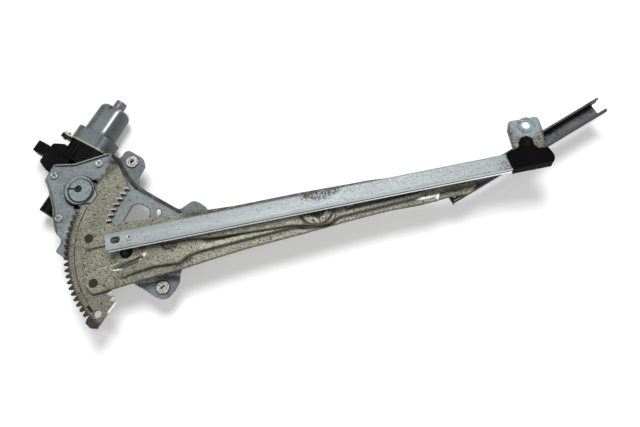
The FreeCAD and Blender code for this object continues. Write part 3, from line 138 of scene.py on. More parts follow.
class Graph:
    """A small helper to write a node material as plain calls."""

    def __init__(self, name):
        self.material = bpy.data.materials.new(name)
        self.material.use_nodes = True
        self.tree = self.material.node_tree
        self.tree.nodes.clear()
        origin = self.node("ShaderNodeTexCoord")
        self.coords = origin.outputs["Object"]
        self.facing = origin.outputs["Normal"]

    def node(self, kind, **settings):
        made = self.tree.nodes.new(kind)
        for key, value in settings.items():
            setattr(made, key, value)
        return made

    def link(self, source, target):
        """Sets a number or a colour on a socket, or links an output to it."""
        if isinstance(source, (int, float)):
            target.default_value = source
        elif isinstance(source, (tuple, list)):
            target.default_value = tuple(source) + (1.0,) * (len(target.default_value) - len(source))
        else:
            self.tree.links.new(source, target)

    def mapped(self, place=(0.0, 0.0, 0.0), turn=0.0, scale=(1.0, 1.0, 1.0)):
        """Coordinates in a frame with its own place, turn about Z and scale."""
        made = self.node("ShaderNodeMapping", vector_type="TEXTURE")
        self.link(self.coords, made.inputs["Vector"])
        made.inputs["Location"].default_value = place
        made.inputs["Rotation"].default_value = (0.0, 0.0, turn)
        made.inputs["Scale"].default_value = scale
        return made.outputs["Vector"]

    def part(self, axis, vector=None):
        """One coordinate."""
        made = self.node("ShaderNodeSeparateXYZ")
        self.link(vector or self.coords, made.inputs[0])
        return made.outputs[axis]

    def lean(self, axis, low, high, start=0.0, end=1.0):
        """How far the surface faces along an axis."""
        return self.ramp(self.part(axis, self.facing), low, high, start, end)

    def noise(self, scale, detail=4.0, rough=0.6, vector=None, warp=0.0):
        made = self.node("ShaderNodeTexNoise")
        self.link(vector or self.coords, made.inputs["Vector"])
        made.inputs["Scale"].default_value = scale
        made.inputs["Detail"].default_value = detail
        made.inputs["Roughness"].default_value = rough
        made.inputs["Distortion"].default_value = warp
        return made.outputs["Fac"]

    def ramp(self, value, low, high, start=0.0, end=1.0):
        made = self.node("ShaderNodeMapRange", clamp=True, interpolation_type="SMOOTHSTEP")
        self.link(value, made.inputs["Value"])
        for key, number in (("From Min", low), ("From Max", high), ("To Min", start), ("To Max", end)):
            made.inputs[key].default_value = number
        return made.outputs["Result"]

    def band(self, value, low, high, soft):
        """One between two values, with soft ends."""
        return self.times(self.ramp(value, low, low + soft), self.ramp(value, high - soft, high, 1.0, 0.0))

    def math(self, operation, first, second=0.0):
        made = self.node("ShaderNodeMath", operation=operation)
        self.link(first, made.inputs[0])
        self.link(second, made.inputs[1])
        return made.outputs[0]

    def times(self, first, second):
        return self.math("MULTIPLY", first, second)

    def blotch(self, scale, low, high, start=0.0, end=1.0, warp=0.0):
        """Patches of a noise."""
        return self.ramp(self.noise(scale, 5, 0.65, warp=warp), low, high, start, end)

    def mix(self, factor, first, second):
        made = self.node("ShaderNodeMix", data_type="RGBA")
        self.link(factor, made.inputs[0])
        self.link(first, made.inputs[MIX_FIRST])
        self.link(second, made.inputs[MIX_SECOND])
        return made.outputs[MIX_RESULT]

    def distance(self, vector):
        made = self.node("ShaderNodeVectorMath", operation="LENGTH")
        self.link(vector, made.inputs[0])
        return made.outputs["Value"]

    def flat_distance(self, vector):
        """Length of a vector as seen from above."""
        made = self.node("ShaderNodeVectorMath", operation="MULTIPLY")
        self.link(vector, made.inputs[0])
        made.inputs[1].default_value = (1.0, 1.0, 0.0)
        return self.distance(made.outputs[0])

    def near(self, place, inner, outer, flat=1.0):
        """One at a place, falling to nought with distance. A large flat stretches it along X."""
        reach = self.distance(self.mapped(place, 0.0, (flat, 1.0, 1.0)))
        return self.ramp(reach, inner, outer, 1.0, 0.0)

    def patch(self, place, degrees, length, width, soft=0.25):
        """One inside an ellipse seen from above, on the upper side. The sizes are half axes."""
        local = self.mapped(place + (0.0,), math.radians(degrees), (length, width, 1.0))
        inside = self.ramp(self.flat_distance(local), 1.0 - soft, 1.0 + soft, 1.0, 0.0)
        return self.times(inside, self.lean("Z", 0.0, 0.2))

    def around_axis(self, centre=(0.0, 0.0, 0.0)):
        """Distance from an upright axis."""
        return self.flat_distance(self.mapped(centre))

    def bend(self, axis, radius, low, high):
        """Strongest where the face beside or at a bend leans towards minus the axis."""
        soft = self.node("ShaderNodeBevel", samples=6)
        soft.inputs["Radius"].default_value = radius
        own = self.node("ShaderNodeVectorTransform", vector_type="NORMAL", convert_from="WORLD",
                        convert_to="OBJECT")
        self.link(soft.outputs["Normal"], own.inputs[0])
        return self.ramp(self.part(axis, own.outputs[0]), low, high, 1.0, 0.0)

    def crevice(self, distance, low=0.35, high=0.95):
        """One in corners that little light reaches."""
        made = self.node("ShaderNodeAmbientOcclusion", samples=8)
        made.inputs["Distance"].default_value = distance
        return self.ramp(made.outputs["AO"], low, high, 1.0, 0.0)

    def edges(self, radius):
        """One on convex and concave edges, where plating wears."""
        soft = self.node("ShaderNodeBevel", samples=4)
        soft.inputs["Radius"].default_value = radius
        plain = self.node("ShaderNodeNewGeometry")
        made = self.node("ShaderNodeVectorMath", operation="DOT_PRODUCT")
        self.link(soft.outputs["Normal"], made.inputs[0])
        self.link(plain.outputs["Normal"], made.inputs[1])
        return self.ramp(made.outputs["Value"], 0.80, 0.97, 1.0, 0.0)

    def finish(self, colour, rough, metallic=0.0, bump=None, bump_depth=0.0002, gloss=0.5):
        """Ends the material with its shader, softened edges and an optional bump."""
        shader = self.node("ShaderNodeBsdfPrincipled")
        self.link(colour, shader.inputs["Base Color"])
        self.link(rough, shader.inputs["Roughness"])
        shader.inputs["Metallic"].default_value = metallic
        shader.inputs["Specular IOR Level"].default_value = gloss
        soft = self.node("ShaderNodeBevel", samples=4)
        soft.inputs["Radius"].default_value = SOFT_EDGE
        normal = soft.outputs["Normal"]
        if bump is not None:
            raised = self.node("ShaderNodeBump")
            raised.inputs["Distance"].default_value = bump_depth
            raised.inputs["Strength"].default_value = 0.6
            self.link(bump, raised.inputs["Height"])
            self.link(normal, raised.inputs["Normal"])
            normal = raised.outputs["Normal"]
        self.link(normal, shader.inputs["Normal"])
        output = self.node("ShaderNodeOutputMaterial")
        self.link(shader.outputs["BSDF"], output.inputs["Surface"])
        return self.material


DIRT = (0.030, 0.024, 0.018)
BLACK = (0.010, 0.009, 0.008)

# In sheet metal: noises, as scales per metre, and sizes in metres
CLOUDS, MOTTLE, FINE_SPECKS, COARSE_SPECKS = 42, 330, 680, 300
SIDE_SHADE_AND_DIRT, POLISH, PITS = 420, 500, 420
WORN_EDGE, PIT_DEPTH = 0.0006, 0.00012

# Before the functions below, a pair is a size from and to, in metres, and a triple is a linear colour


def sheet(name, base, dark, rough=0.5, metallic=0.25, fine=0.3, coarse=0.3, cloud=0.5, streak=None,
          stains=None, marks=None, wear=0.25, sides=0.5, crevice_shade=(0.005, 0.35, 0.95)):
    """Plated sheet metal: cloudy tone, stains, dark specks, painted shade with some dirt on the sides, worn
    edges, painted shade in crevices, last marks.
    """
    g = Graph(name)
    vector = g.mapped(scale=streak) if streak else None
    colour = g.mix(g.ramp(g.noise(CLOUDS, 6, 0.7, vector), 0.36, 0.62), dark, base)
    light = [c * 1.35 for c in base]
    colour = g.mix(g.ramp(g.noise(MOTTLE, 4, 0.65, vector), 0.42, 0.68, 0.0, cloud), colour, light)
    if stains:
        colour = stains(g, colour)
    colour = g.mix(g.ramp(g.noise(FINE_SPECKS, 2, 0.6), 0.545, 0.585, 0.0, fine), colour, DIRT)
    colour = g.mix(g.ramp(g.noise(COARSE_SPECKS, 2, 0.5), 0.64, 0.67, 0.0, coarse), colour, DIRT)
    # Painted shade, with some dirt, on the sides that do not face up
    flanks = g.times(g.lean("Z", 0.15, 0.60, sides, 0.0), g.blotch(SIDE_SHADE_AND_DIRT, 0.38, 0.55, 0.45, 1.0))
    colour = g.mix(flanks, colour, DIRT)
    colour = g.mix(g.times(g.edges(WORN_EDGE), wear), colour, [min(1.0, c * 2.2) for c in base])
    # Painted shade in crevices and corners, from ambient occlusion
    colour = g.mix(g.times(g.crevice(*crevice_shade), 0.80), colour, DIRT)
    if marks:
        colour = marks(g, colour)
    worn = g.ramp(g.noise(POLISH, 3), 0.35, 0.7, rough - 0.08, rough + 0.12)
    return g.finish(colour, worn, metallic, g.noise(PITS, 4, 0.7), PIT_DEPTH)


PLATE_LOW_SHADE = (0.045, 0.055, 0.062)
RIM_SHADE = (0.012, 0.011, 0.010)
PLATE_PALE = (0.33, 0.37, 0.37)
PLATE_DULL = (0.08, 0.09, 0.09)
CORNER_GREASE = (0.022, 0.018, 0.012)
PLATE_BARE = (0.50, 0.54, 0.54)
HOLE_SHADE = (0.012, 0.014, 0.017)
DOME_WALL_SHADE = (0.014, 0.011, 0.008)
DOME_RING_SHADE = (0.010, 0.008, 0.006)
EAR_LEVEL = (-0.0068, -0.0052)
SLOPE_LEVELS = (-0.0071, 0.0004)
RIM_LEVEL = (-0.0060, -0.0040)
NUT_RING = (0.0070, 0.0089)
DOME_EDGE = (0.0235, 0.0250)
DOME_TOP_RING = (0.0144, 0.0160)
DOME_FOOT_RING = (0.0186, 0.0206)
SLIT_ALONG = (0.0030, 0.0150)
SLIT_ACROSS = (-0.0015, 0.0015)
SLIT_REACH = (0.0165, 0.0175)


def plate_stains(g, colour):
    """Painted shade on the low ears, the slope between levels, the rim's bend, the dome's walls and steps,
    the slit and the plate under the arm's hole; clouds, worn patches, grease at a corner and dark rings
    around the nuts.
    """
    z = g.part("Z")
    # Painted shade on the low ears
    colour = g.mix(g.ramp(z, *EAR_LEVEL, 0.50, 0.0), colour, PLATE_LOW_SHADE)
    # Painted shade on the sloped wall between the two levels
    slope = g.times(g.band(z, *SLOPE_LEVELS, 0.0022), g.blotch(70, 0.30, 0.55, 0.55, 1.0))
    colour = g.mix(slope, colour, DIRT)
    # Painted shade on the rim's bend that faces minus X, away from the lamp
    rim = g.times(g.times(g.bend("X", 0.0032, -0.50, -0.08), g.ramp(z, *RIM_LEVEL)),
                  g.blotch(120, 0.26, 0.44, 0.6, 1.0))
    colour = g.mix(rim, colour, RIM_SHADE)
    colour = g.mix(g.blotch(60, 0.56, 0.68, 0.0, 0.45, 0.8), colour, PLATE_PALE)
    colour = g.mix(g.blotch(95, 0.56, 0.66, 0.0, 0.45, 1.2), colour, PLATE_DULL)
    corner = g.times(g.near(PLATE_CORNER, 0.004, 0.014), g.blotch(160, 0.30, 0.50))
    colour = g.mix(corner, colour, CORNER_GREASE)
    scraped = g.times(g.patch(PLATE_SCRAPE, 60.0, 0.010, 0.005, 0.5),
                      g.blotch(300, 0.46, 0.56, 0.0, 0.7))
    colour = g.mix(scraped, colour, PLATE_BARE)
    under = g.times(g.patch(BELOW_ARM_HOLE, 0.0, 0.0110, 0.0110), g.blotch(60, 0.30, 0.60, 0.75, 1.0))
    colour = g.mix(under, colour, HOLE_SHADE)
    # Dark rings around the nuts, at the foot of their flanges
    for place in NUTS:
        ring = g.band(g.around_axis(place + (0.0,)), *NUT_RING, 0.0005)
        colour = g.mix(g.times(ring, 0.75), colour, DIRT)
    # Painted shade on the dome's walls and in its steps
    dome = g.near(PINION, *DOME_EDGE)
    walls = g.times(g.times(dome, g.lean("Z", 0.60, 0.96, 1.0, 0.0)),
                    g.blotch(150, 0.30, 0.50, 0.45, 1.0))
    colour = g.mix(walls, colour, DOME_WALL_SHADE)
    rings = g.math("MAXIMUM", g.band(g.around_axis(DOME_TOP), *DOME_TOP_RING, 0.0004),
                   g.band(g.around_axis(PINION), *DOME_FOOT_RING, 0.0004))
    rings = g.times(g.times(rings, dome),
                    g.times(g.lean("Z", 0.0, 0.2), g.blotch(150, 0.30, 0.48, 0.35, 1.0)))
    colour = g.mix(rings, colour, DOME_RING_SHADE)
    # Painted shade: the lanced slit in the dome, which the solid lacks, is painted black
    lance = g.mapped(PINION, LANCE_TURN)
    slit = g.times(g.band(g.part("X", lance), *SLIT_ALONG, 0.001),
                   g.band(g.part("Y", lance), *SLIT_ACROSS, 0.0006))
    return g.mix(g.times(slit, g.near(PINION, *SLIT_REACH)), colour, BLACK)


BEND_HIGHLIGHT = (0.56, 0.59, 0.47)


def slopes(g, colour):
    """Painted shade on the bends that look down (minus Y), away from the lamp, and a painted highlight on
    those that look up (plus Y).
    """
    # Painted shade on the bends that face minus Y
    below = g.times(g.bend("Y", 0.0030, -0.36, -0.07), g.blotch(160, 0.22, 0.45, 0.60, 1.0))
    colour = g.mix(below, colour, BLACK)
    # Painted highlight on the faces that look towards plus Y
    return g.mix(g.lean("Y", 0.22, 0.60, 0.0, 0.75), colour, BEND_HIGHLIGHT)


STRIP_HIGHLIGHT = (0.45, 0.48, 0.37)
BEAD_FLOOR_SHADE = (0.11, 0.13, 0.10)
ARM_FAR_SHADE = (0.06, 0.06, 0.045)
ARM_EDGE = (0.040, 0.034, 0.022)
NEAR_BEADS = (0.030, 0.156)
FAR_BEADS = (0.200, 0.304)
BEAD_EDGE = (-0.0112, -0.0104)
WEB_TOP = (0.0092, 0.0098)
BEAD_LEVEL = (0.0081, 0.0089)
UPPER_EDGE = (0.0185, 0.0205)
EDGE_START = (0.005, 0.030)


def arm_stains(g, colour):
    """Painted highlights on strips by the beads, painted shade on the bead floors and the far part, painted
    light and shade on the bends, dark edges, and the single marks of the main arm.
    """
    local = g.mapped(turn=FOLD)
    along, across = g.part("X", local), g.part("Y", local)
    spans = g.math("MAXIMUM", g.band(along, *NEAR_BEADS, 0.006), g.band(along, *FAR_BEADS, 0.006))
    # Painted highlight along the lit strip of the web by the beads
    strip = g.times(g.times(g.ramp(across, *BEAD_EDGE, 1.0, 0.0), g.ramp(g.part("Z"), *WEB_TOP)),
                    g.times(spans, g.blotch(110, 0.30, 0.55, 0.45, 1.0)))
    colour = g.mix(g.times(strip, 0.9), colour, STRIP_HIGHLIGHT)
    # Painted shade on the bead floors
    floor = g.times(g.band(g.part("Z"), *BEAD_LEVEL, 0.0002), g.ramp(along, 0.03, 0.05))
    colour = g.mix(g.times(floor, g.blotch(60, 0.35, 0.6, 0.4, 0.9)), colour, BEAD_FLOOR_SHADE)
    # Painted shade on the far part of the arm, under the lift channel
    right = g.ramp(g.part("X"), 0.10, 0.30, 0.0, 0.25)
    colour = g.mix(right, colour, ARM_FAR_SHADE)
    colour = slopes(g, colour)
    edge = g.times(g.times(g.ramp(g.part("Y"), *UPPER_EDGE), g.ramp(g.part("X"), *EDGE_START)),
                   g.blotch(330, 0.40, 0.50, 0.15, 0.95, 1.5))
    colour = g.mix(edge, colour, ARM_EDGE)
    for place, degrees, length, width, soft, strength, tone in ARM_MARKS:
        colour = g.mix(g.times(g.patch(place, degrees, length, width, soft), strength), colour, tone)
    grit = g.times(g.patch(ARM_GRIT, 27.0, 0.0125, 0.0042, 0.4), g.blotch(480, 0.47, 0.52, 0.0, 0.9))
    return g.mix(grit, colour, BLACK)


TAB_BARE = (0.92, 0.93, 0.84)


def arm_marks(g, colour):
    """The bare tab at the end of the arm."""
    tab = g.math("MAXIMUM", g.near(TAB_CORNER, 0.0026, 0.0046),
                 g.patch(TAB_EDGE, 1.7, 0.0120, 0.0013, 0.4))
    return g.mix(tab, colour, TAB_BARE)


HUB_DIRT = (0.035, 0.035, 0.033)
PIN_RING = (0.0074, 0.0088)
BUSH_RING = (0.0103, 0.0116)


def hub_stains(g, colour):
    """Dirty rings around the main pivot."""
    reach = g.around_axis()
    colour = g.mix(g.blotch(230, 0.44, 0.54, 0.0, 0.85), colour, HUB_DIRT)
    rings = g.math("MAXIMUM", g.band(reach, *PIN_RING, 0.0003), g.band(reach, *BUSH_RING, 0.0003))
    return g.mix(g.times(rings, g.blotch(160, 0.30, 0.50, 0.3, 1.0)), colour, BLACK)


DISH_WALL_HIGHLIGHT = (0.66, 0.66, 0.53)
AMBER = (0.36, 0.21, 0.03)
RIVET_EDGE = (0.0100, 0.0120)
DISH_SLOPE = (0.0112, 0.0178)
DISH_RIM = (0.0182, 0.0224)
AMBER_REACH = (0.019, 0.021)
GREASE_REACH = (0.016, 0.030)


def link_stains(g, colour):
    """Painted light and shade on the bends, a painted highlight on the dish's wall, and grease spread from
    the rivet over the dish of the crossing.
    """
    colour = slopes(g, colour)
    reach = g.around_axis(CROSS)
    # Painted highlight on the dish's wall
    wall = g.band(reach, *DISH_SLOPE, 0.0008)
    colour = g.mix(g.times(wall, g.blotch(130, 0.36, 0.50, 0.0, 0.95)), colour, DISH_WALL_HIGHLIGHT)
    amber = g.times(g.ramp(reach, *AMBER_REACH, 1.0, 0.0), g.blotch(230, 0.52, 0.58, 0.0, 0.9, 0.6))
    colour = g.mix(amber, colour, AMBER)
    head = g.times(g.ramp(reach, *RIVET_EDGE, 1.0, 0.0), g.blotch(190, 0.32, 0.42))
    colour = g.mix(head, colour, BLACK)
    spread = g.times(g.ramp(reach, *GREASE_REACH, 1.0, 0.0), g.blotch(170, 0.51, 0.56, 0.0, 0.95, 1.6))
    colour = g.mix(spread, colour, BLACK)
    ring = g.times(g.band(reach, *DISH_RIM, 0.0008), g.blotch(150, 0.28, 0.40))
    return g.mix(ring, colour, BLACK)


SECTOR_OIL = (0.20, 0.168, 0.108)
SECTOR_LOW = (0.13, 0.12, 0.085)
TOOTH_GREASE = (0.034, 0.025, 0.016)
LOWER_HALF = (0.045, 0.070)
OIL_START = (0.110, 0.120)
TOOTH_ROOTS = (0.1195, 0.1235)


def sector_stains(g, colour):
    """Old grease towards the teeth, more of it on the lower half."""
    reach = g.around_axis()
    lower = g.ramp(g.part("Y"), *LOWER_HALF, 1.0, 0.0)
    band = g.times(g.times(g.ramp(reach, *OIL_START), lower), g.blotch(90, 0.38, 0.62, 0.10, 0.65))
    colour = g.mix(band, colour, SECTOR_OIL)
    colour = g.mix(g.ramp(g.part("Y"), -0.06, 0.04, 0.35, 0.0), colour, SECTOR_LOW)
    grease = g.times(g.times(g.ramp(reach, *TOOTH_ROOTS), g.ramp(lower, 0.0, 1.0, 0.65, 1.0)),
                     g.blotch(260, 0.32, 0.46, 0.40, 1.0))
    return g.mix(grease, colour, TOOTH_GREASE)


NEST_HIGHLIGHT = (0.95, 0.96, 0.92)
TOOTH_SHADE_OUTLINE = (0.014, 0.010, 0.006)
TOOTH_FLANK = (0.010, 0.008, 0.005)
NEST_END = (0.104, 0.108)
OUTLINE_START = (0.1165, 0.1190)
FLANK_START = (0.1120, 0.1150)
SUNK_LEVEL = (0.0041, 0.0044)
GROOVE = (0.1146, 0.1164)


def sector_marks(g, colour):
    """Greased flanks and painted shade on the lower sides of the working teeth, painted highlights on the
    nest teeth, the dark groove, and painted shade in the blind hole.
    """
    reach = g.around_axis()
    flank = g.lean("Z", 0.30, 0.75, 1.0, 0.0)
    # Painted highlight on the nest teeth's edges that face minus Y
    bare = g.times(g.ramp(reach, *NEST_END, 1.0, 0.0), g.bend("Y", 0.0022, -0.34, -0.07))
    colour = g.mix(bare, colour, NEST_HIGHLIGHT)
    # Painted shade on the outer teeth's sides that face minus Y
    outline = g.times(g.ramp(reach, *OUTLINE_START), g.bend("Y", 0.0020, -0.34, -0.07))
    colour = g.mix(g.times(outline, 0.9), colour, TOOTH_SHADE_OUTLINE)
    colour = g.mix(g.times(g.ramp(reach, *FLANK_START), flank), colour, TOOTH_FLANK)
    sunk = g.ramp(g.part("Z"), *SUNK_LEVEL, 1.0, 0.0)
    colour = g.mix(g.times(g.band(reach, *GROOVE, 0.0003), sunk), colour, BLACK)
    # Painted shade: the floor of the blind hole is painted black
    blind = g.times(g.near(BLIND_HOLE, 0.0045, 0.0055), sunk)
    return g.mix(blind, colour, BLACK)


CHANNEL_FAR = (0.20, 0.235, 0.245)
CHANNEL_BLUE = (0.23, 0.265, 0.300)
SMEAR_BLACK = (0.004, 0.004, 0.004)
CHANNEL_BROWN = (0.060, 0.045, 0.030)


def channel_stains(g, colour):
    """A darker far end, bluish streaks, smears over the crossing, and dirt by the stop and the pad."""
    colour = g.mix(g.ramp(g.part("X"), 0.05, 0.43, 0.0, 0.55), colour, CHANNEL_FAR)
    blue = g.ramp(g.noise(22, 3, 0.5, g.mapped(scale=(9.0, 0.5, 1.0))), 0.48, 0.62, 0.0, 0.35)
    colour = g.mix(blue, colour, CHANNEL_BLUE)
    for place, reach in SMEARS:
        smear = g.times(g.near(place, reach * 0.35, reach, 1.7),
                        g.blotch(190, 0.445, 0.49, 0.0, 1.0, 2.4))
        colour = g.mix(smear, colour, SMEAR_BLACK)
    dust = g.times(g.near(BESIDE_STOP, 0.006, 0.030, 2.0), g.blotch(520, 0.58, 0.64, 0.0, 0.8))
    colour = g.mix(dust, colour, DIRT)
    brown = g.times(g.near(BESIDE_PAD, 0.004, 0.012), g.blotch(460, 0.46, 0.56, 0.0, 0.8))
    return g.mix(brown, colour, CHANNEL_BROWN)


WALL_LIGHT = (0.44, 0.50, 0.51)
WALL_SHADE_LINE = (0.012, 0.013, 0.014)
LIP_HIGHLIGHT = (0.97, 0.99, 0.99)
LINE_LEVELS = (0.0190, 0.0222)
LIP_TOP = (0.0190, 0.0195)


def channel_marks(g, colour):
    """Painted light on the lower wall, which keeps the tone of the web, down to a painted line of shade and a
    painted highlight on the lip.
    """
    z = g.part("Z")
    under = g.lean("Y", -0.75, -0.35, 1.0, 0.0)
    # Painted light on the wall that faces away from the lamp
    colour = g.mix(g.times(under, 0.85), colour, WALL_LIGHT)
    # Painted line of shade on the wall
    line = g.times(g.band(z, *LINE_LEVELS, 0.0006), g.blotch(240, 0.34, 0.46, 0.55, 1.0))
    colour = g.mix(g.times(under, line), colour, WALL_SHADE_LINE)
    # Painted highlight on the lip
    lip = g.times(under, g.times(g.ramp(z, *LIP_TOP, 1.0, 0.0), g.blotch(330, 0.30, 0.42, 0.55, 1.0)))
    return g.mix(lip, colour, LIP_HIGHLIGHT)


RAIL_PALE = (0.20, 0.23, 0.27)
RAIL_SIDES = (0.022, 0.026, 0.032)
RAIL_SLOPE = (0.0040, 0.0075)


def rail_stains(g, colour):
    """Pale streaks along the short channel and dark sides."""
    local = g.mapped(RAIL, RAIL_TURN)
    across = g.part("Y", local)
    along = g.mapped(turn=RAIL_TURN, scale=(6.0, 1.0, 1.0))
    colour = g.mix(g.ramp(g.noise(60, 5, 0.6, along), 0.46, 0.62, 0.0, 0.6), colour, RAIL_PALE)
    off = g.math("ABSOLUTE", across)
    return g.mix(g.ramp(off, *RAIL_SLOPE, 0.0, 0.80), colour, RAIL_SIDES)


RAIL_LIPS = (0.022, 0.022, 0.022)
RAIL_LINE = (0.13, 0.135, 0.135)
RAIL_SHADE_BELOW = (0.020, 0.020, 0.020)
RAIL_WALL_HIGHLIGHT = (0.90, 0.90, 0.88)
RAIL_LIP_LEVEL = (-0.0016, -0.0010)
LIP_LINE = (0.0083, 0.0092)
RAIL_WALL = (0.0098, 0.0099)
WALL_LEVELS = (-0.0085, -0.0040)


def rail_marks(g, colour):
    """Dark lips with a pale line along each, painted shade on the faces that look down, a painted highlight
    along the lower wall, and grease near the far end.
    """
    local = g.mapped(RAIL, RAIL_TURN)
    off = g.math("ABSOLUTE", g.part("Y", local))
    lips = g.ramp(g.part("Z"), *RAIL_LIP_LEVEL)
    colour = g.mix(g.times(lips, 0.9), colour, RAIL_LIPS)
    line = g.times(lips, g.band(off, *LIP_LINE, 0.0002))
    colour = g.mix(line, colour, RAIL_LINE)
    below = g.lean("Y", -0.75, -0.40, 1.0, 0.0)
    lower = g.times(g.times(below, g.ramp(off, *RAIL_WALL)),
                    g.band(g.part("Z"), *WALL_LEVELS, 0.0006))
    # Painted shade on the faces that look towards minus Y, and a painted highlight along the lower wall
    colour = g.mix(g.times(below, 0.8), colour, RAIL_SHADE_BELOW)
    colour = g.mix(lower, colour, RAIL_WALL_HIGHLIGHT)
    for place in RAIL_GREASE:
        grease = g.times(g.patch(place, math.degrees(RAIL_TURN), 0.017, 0.008, 0.5),
                         g.blotch(230, 0.52, 0.56, 0.0, 0.95, 1.2))
        colour = g.mix(grease, colour, BLACK)
    return colour


BRACKET_CLOUD = (0.20, 0.195, 0.165)
BRACKET_SPECK = (0.065, 0.058, 0.045)
BOLT_DOTS = (0.09, 0.085, 0.075)
BOLT_RIM = (0.0125, 0.0205)
BOLT_FACE = (0.0068, 0.0112)


def bracket_stains(g, colour):
    """Clouds and specks of the bracket, and dots around the bolt hole."""
    reach = g.around_axis(BOLT_HOLE)
    rim = g.ramp(reach, *BOLT_RIM)
    colour = g.mix(g.times(g.blotch(75, 0.38, 0.54, 0.45, 1.0, 0.6), rim), colour, BRACKET_CLOUD)
    colour = g.mix(g.times(g.blotch(420, 0.43, 0.54, 0.0, 0.95), rim), colour, BRACKET_SPECK)
    dots = g.times(g.band(reach, *BOLT_FACE, 0.001), g.ramp(g.noise(520, 2), 0.50, 0.58, 0.0, 0.8))
    return g.mix(dots, colour, BOLT_DOTS)


DOT_RATE = 2600.0
CAN_GREEN = (0.004, 0.030, 0.018)
CAN_RUST = (0.115, 0.095, 0.065)
CAN_PALE = (0.30, 0.32, 0.32)
CAN_SIDE_SHADE = (0.060, 0.064, 0.070)
CAN_HIGHLIGHT = (0.62, 0.64, 0.66)
CAN_LINE = (0.62, 0.58, 0.46)
CAN_FLANK = (0.0185, 0.0205)
STRIPE = (0.0192, 0.0232)
BARREL_START = (0.078, 0.082)
CAN_ROOT = (0.0552, 0.0578)


def can_stains(g, colour):
    """A green spot, faint rust, pale clouds, painted shade on one side, a painted highlight stripe along the
    can and dots at its root.
    """
    local = g.mapped(PINION, MOTOR_TURN)
    green = g.times(g.near(CAN_SPOT, 0.002, 0.0045), g.blotch(400, 0.40, 0.50))
    colour = g.mix(green, colour, CAN_GREEN)
    colour = g.mix(g.blotch(60, 0.56, 0.68, 0.0, 0.40, 1.0), colour, CAN_RUST)
    colour = g.mix(g.blotch(110, 0.60, 0.68, 0.0, 0.45, 0.6), colour, CAN_PALE)
    across, along = g.part("Y", local), g.part("X", local)
    # Painted shade on the can's far side
    colour = g.mix(g.ramp(across, *CAN_FLANK, 0.60, 0.0), colour, CAN_SIDE_SHADE)
    # Painted highlight stripe along the can
    stripe = g.times(g.band(across, *STRIPE, 0.0010), g.ramp(g.noise(70, 3), 0.30, 0.55, 0.60, 1.0))
    colour = g.mix(g.times(stripe, g.ramp(along, *BARREL_START)), colour, CAN_HIGHLIGHT)
    dots = g.math("SINE", g.times(across, DOT_RATE))
    line = g.times(g.band(along, *CAN_ROOT, 0.0003), g.ramp(dots, -0.2, 0.2))
    return g.mix(line, colour, CAN_LINE)


DUST = (0.20, 0.19, 0.17)
PLASTIC_WORN = (0.20, 0.20, 0.20)


def plastic(name, base, grain=900.0, rough=0.5, dust=0.1, gloss=0.5):
    """Moulded plastic with a fine grain and a little dust."""
    g = Graph(name)
    tone = g.mix(g.ramp(g.noise(60, 5), 0.45, 0.8, 0.0, dust), base, DUST)
    tone = g.mix(g.times(g.edges(0.0005), dust), tone, PLASTIC_WORN)
    return g.finish(tone, g.ramp(g.noise(grain, 3), 0.3, 0.7, rough - 0.06, rough + 0.1), 0.0,
                    g.noise(grain, 2), 0.00008, gloss=gloss)


def bright(name, base, rough=0.32, metallic=0.7, contrast=0.35, stains=None):
    """Plated fastener with painted shade in its corners."""
    g = Graph(name)
    colour = g.mix(g.ramp(g.noise(400, 4), 0.44, 0.60), base, [c * contrast for c in base])
    if stains:
        colour = stains(g, colour)
    # Painted shade in corners, from ambient occlusion
    colour = g.mix(g.times(g.crevice(0.003), 0.8), colour, DIRT)
    return g.finish(colour, g.ramp(g.noise(800, 3), 0.3, 0.7, rough - 0.06, rough + 0.12), metallic)


SHAFT_END_SHADE = (0.006, 0.005, 0.004)


def shaft_end(g, colour):
    """The end of the pinion shaft, seen down the hole in the dome, is painted dark as painted shade."""
    return g.mix(g.ramp(g.part("Z"), 0.0050, 0.0056), colour, SHAFT_END_SHADE)


STOP_MIDDLE = (0.0009, 0.0013)
STOP_RING = (0.0019, 0.0026)


def stop_stains(g, colour):
    """A dark middle and ring on the stop's head."""
    reach = g.around_axis(STOP)
    ring = g.math("MAXIMUM", g.ramp(reach, *STOP_MIDDLE, 1.0, 0.0),
                  g.band(reach, *STOP_RING, 0.0002))
    return g.mix(g.times(ring, g.blotch(500, 0.35, 0.5, 0.5, 1.0)), colour, BLACK)


FELT_DARK = (0.0012, 0.0011, 0.0011)
FELT_LIGHT = (0.0048, 0.0044, 0.0042)
FELT_GREASE = (0.022, 0.012, 0.007)


def felt(name):
    """Black felt tape: matt fibres, a greasy brown patch where the window runs."""
    g = Graph(name)
    fibres = g.noise(900, 5, 0.75, g.mapped(turn=0.4, scale=(2.5, 1.0, 1.0)), warp=0.4)
    colour = g.mix(g.ramp(fibres, 0.4, 0.7), FELT_DARK, FELT_LIGHT)
    patch = g.times(g.near(FELT_WORN, 0.002, 0.009), g.blotch(220, 0.40, 0.60))
    colour = g.mix(patch, colour, FELT_GREASE)
    return g.finish(colour, 0.92, 0.0, fibres, 0.0004, gloss=0.12)


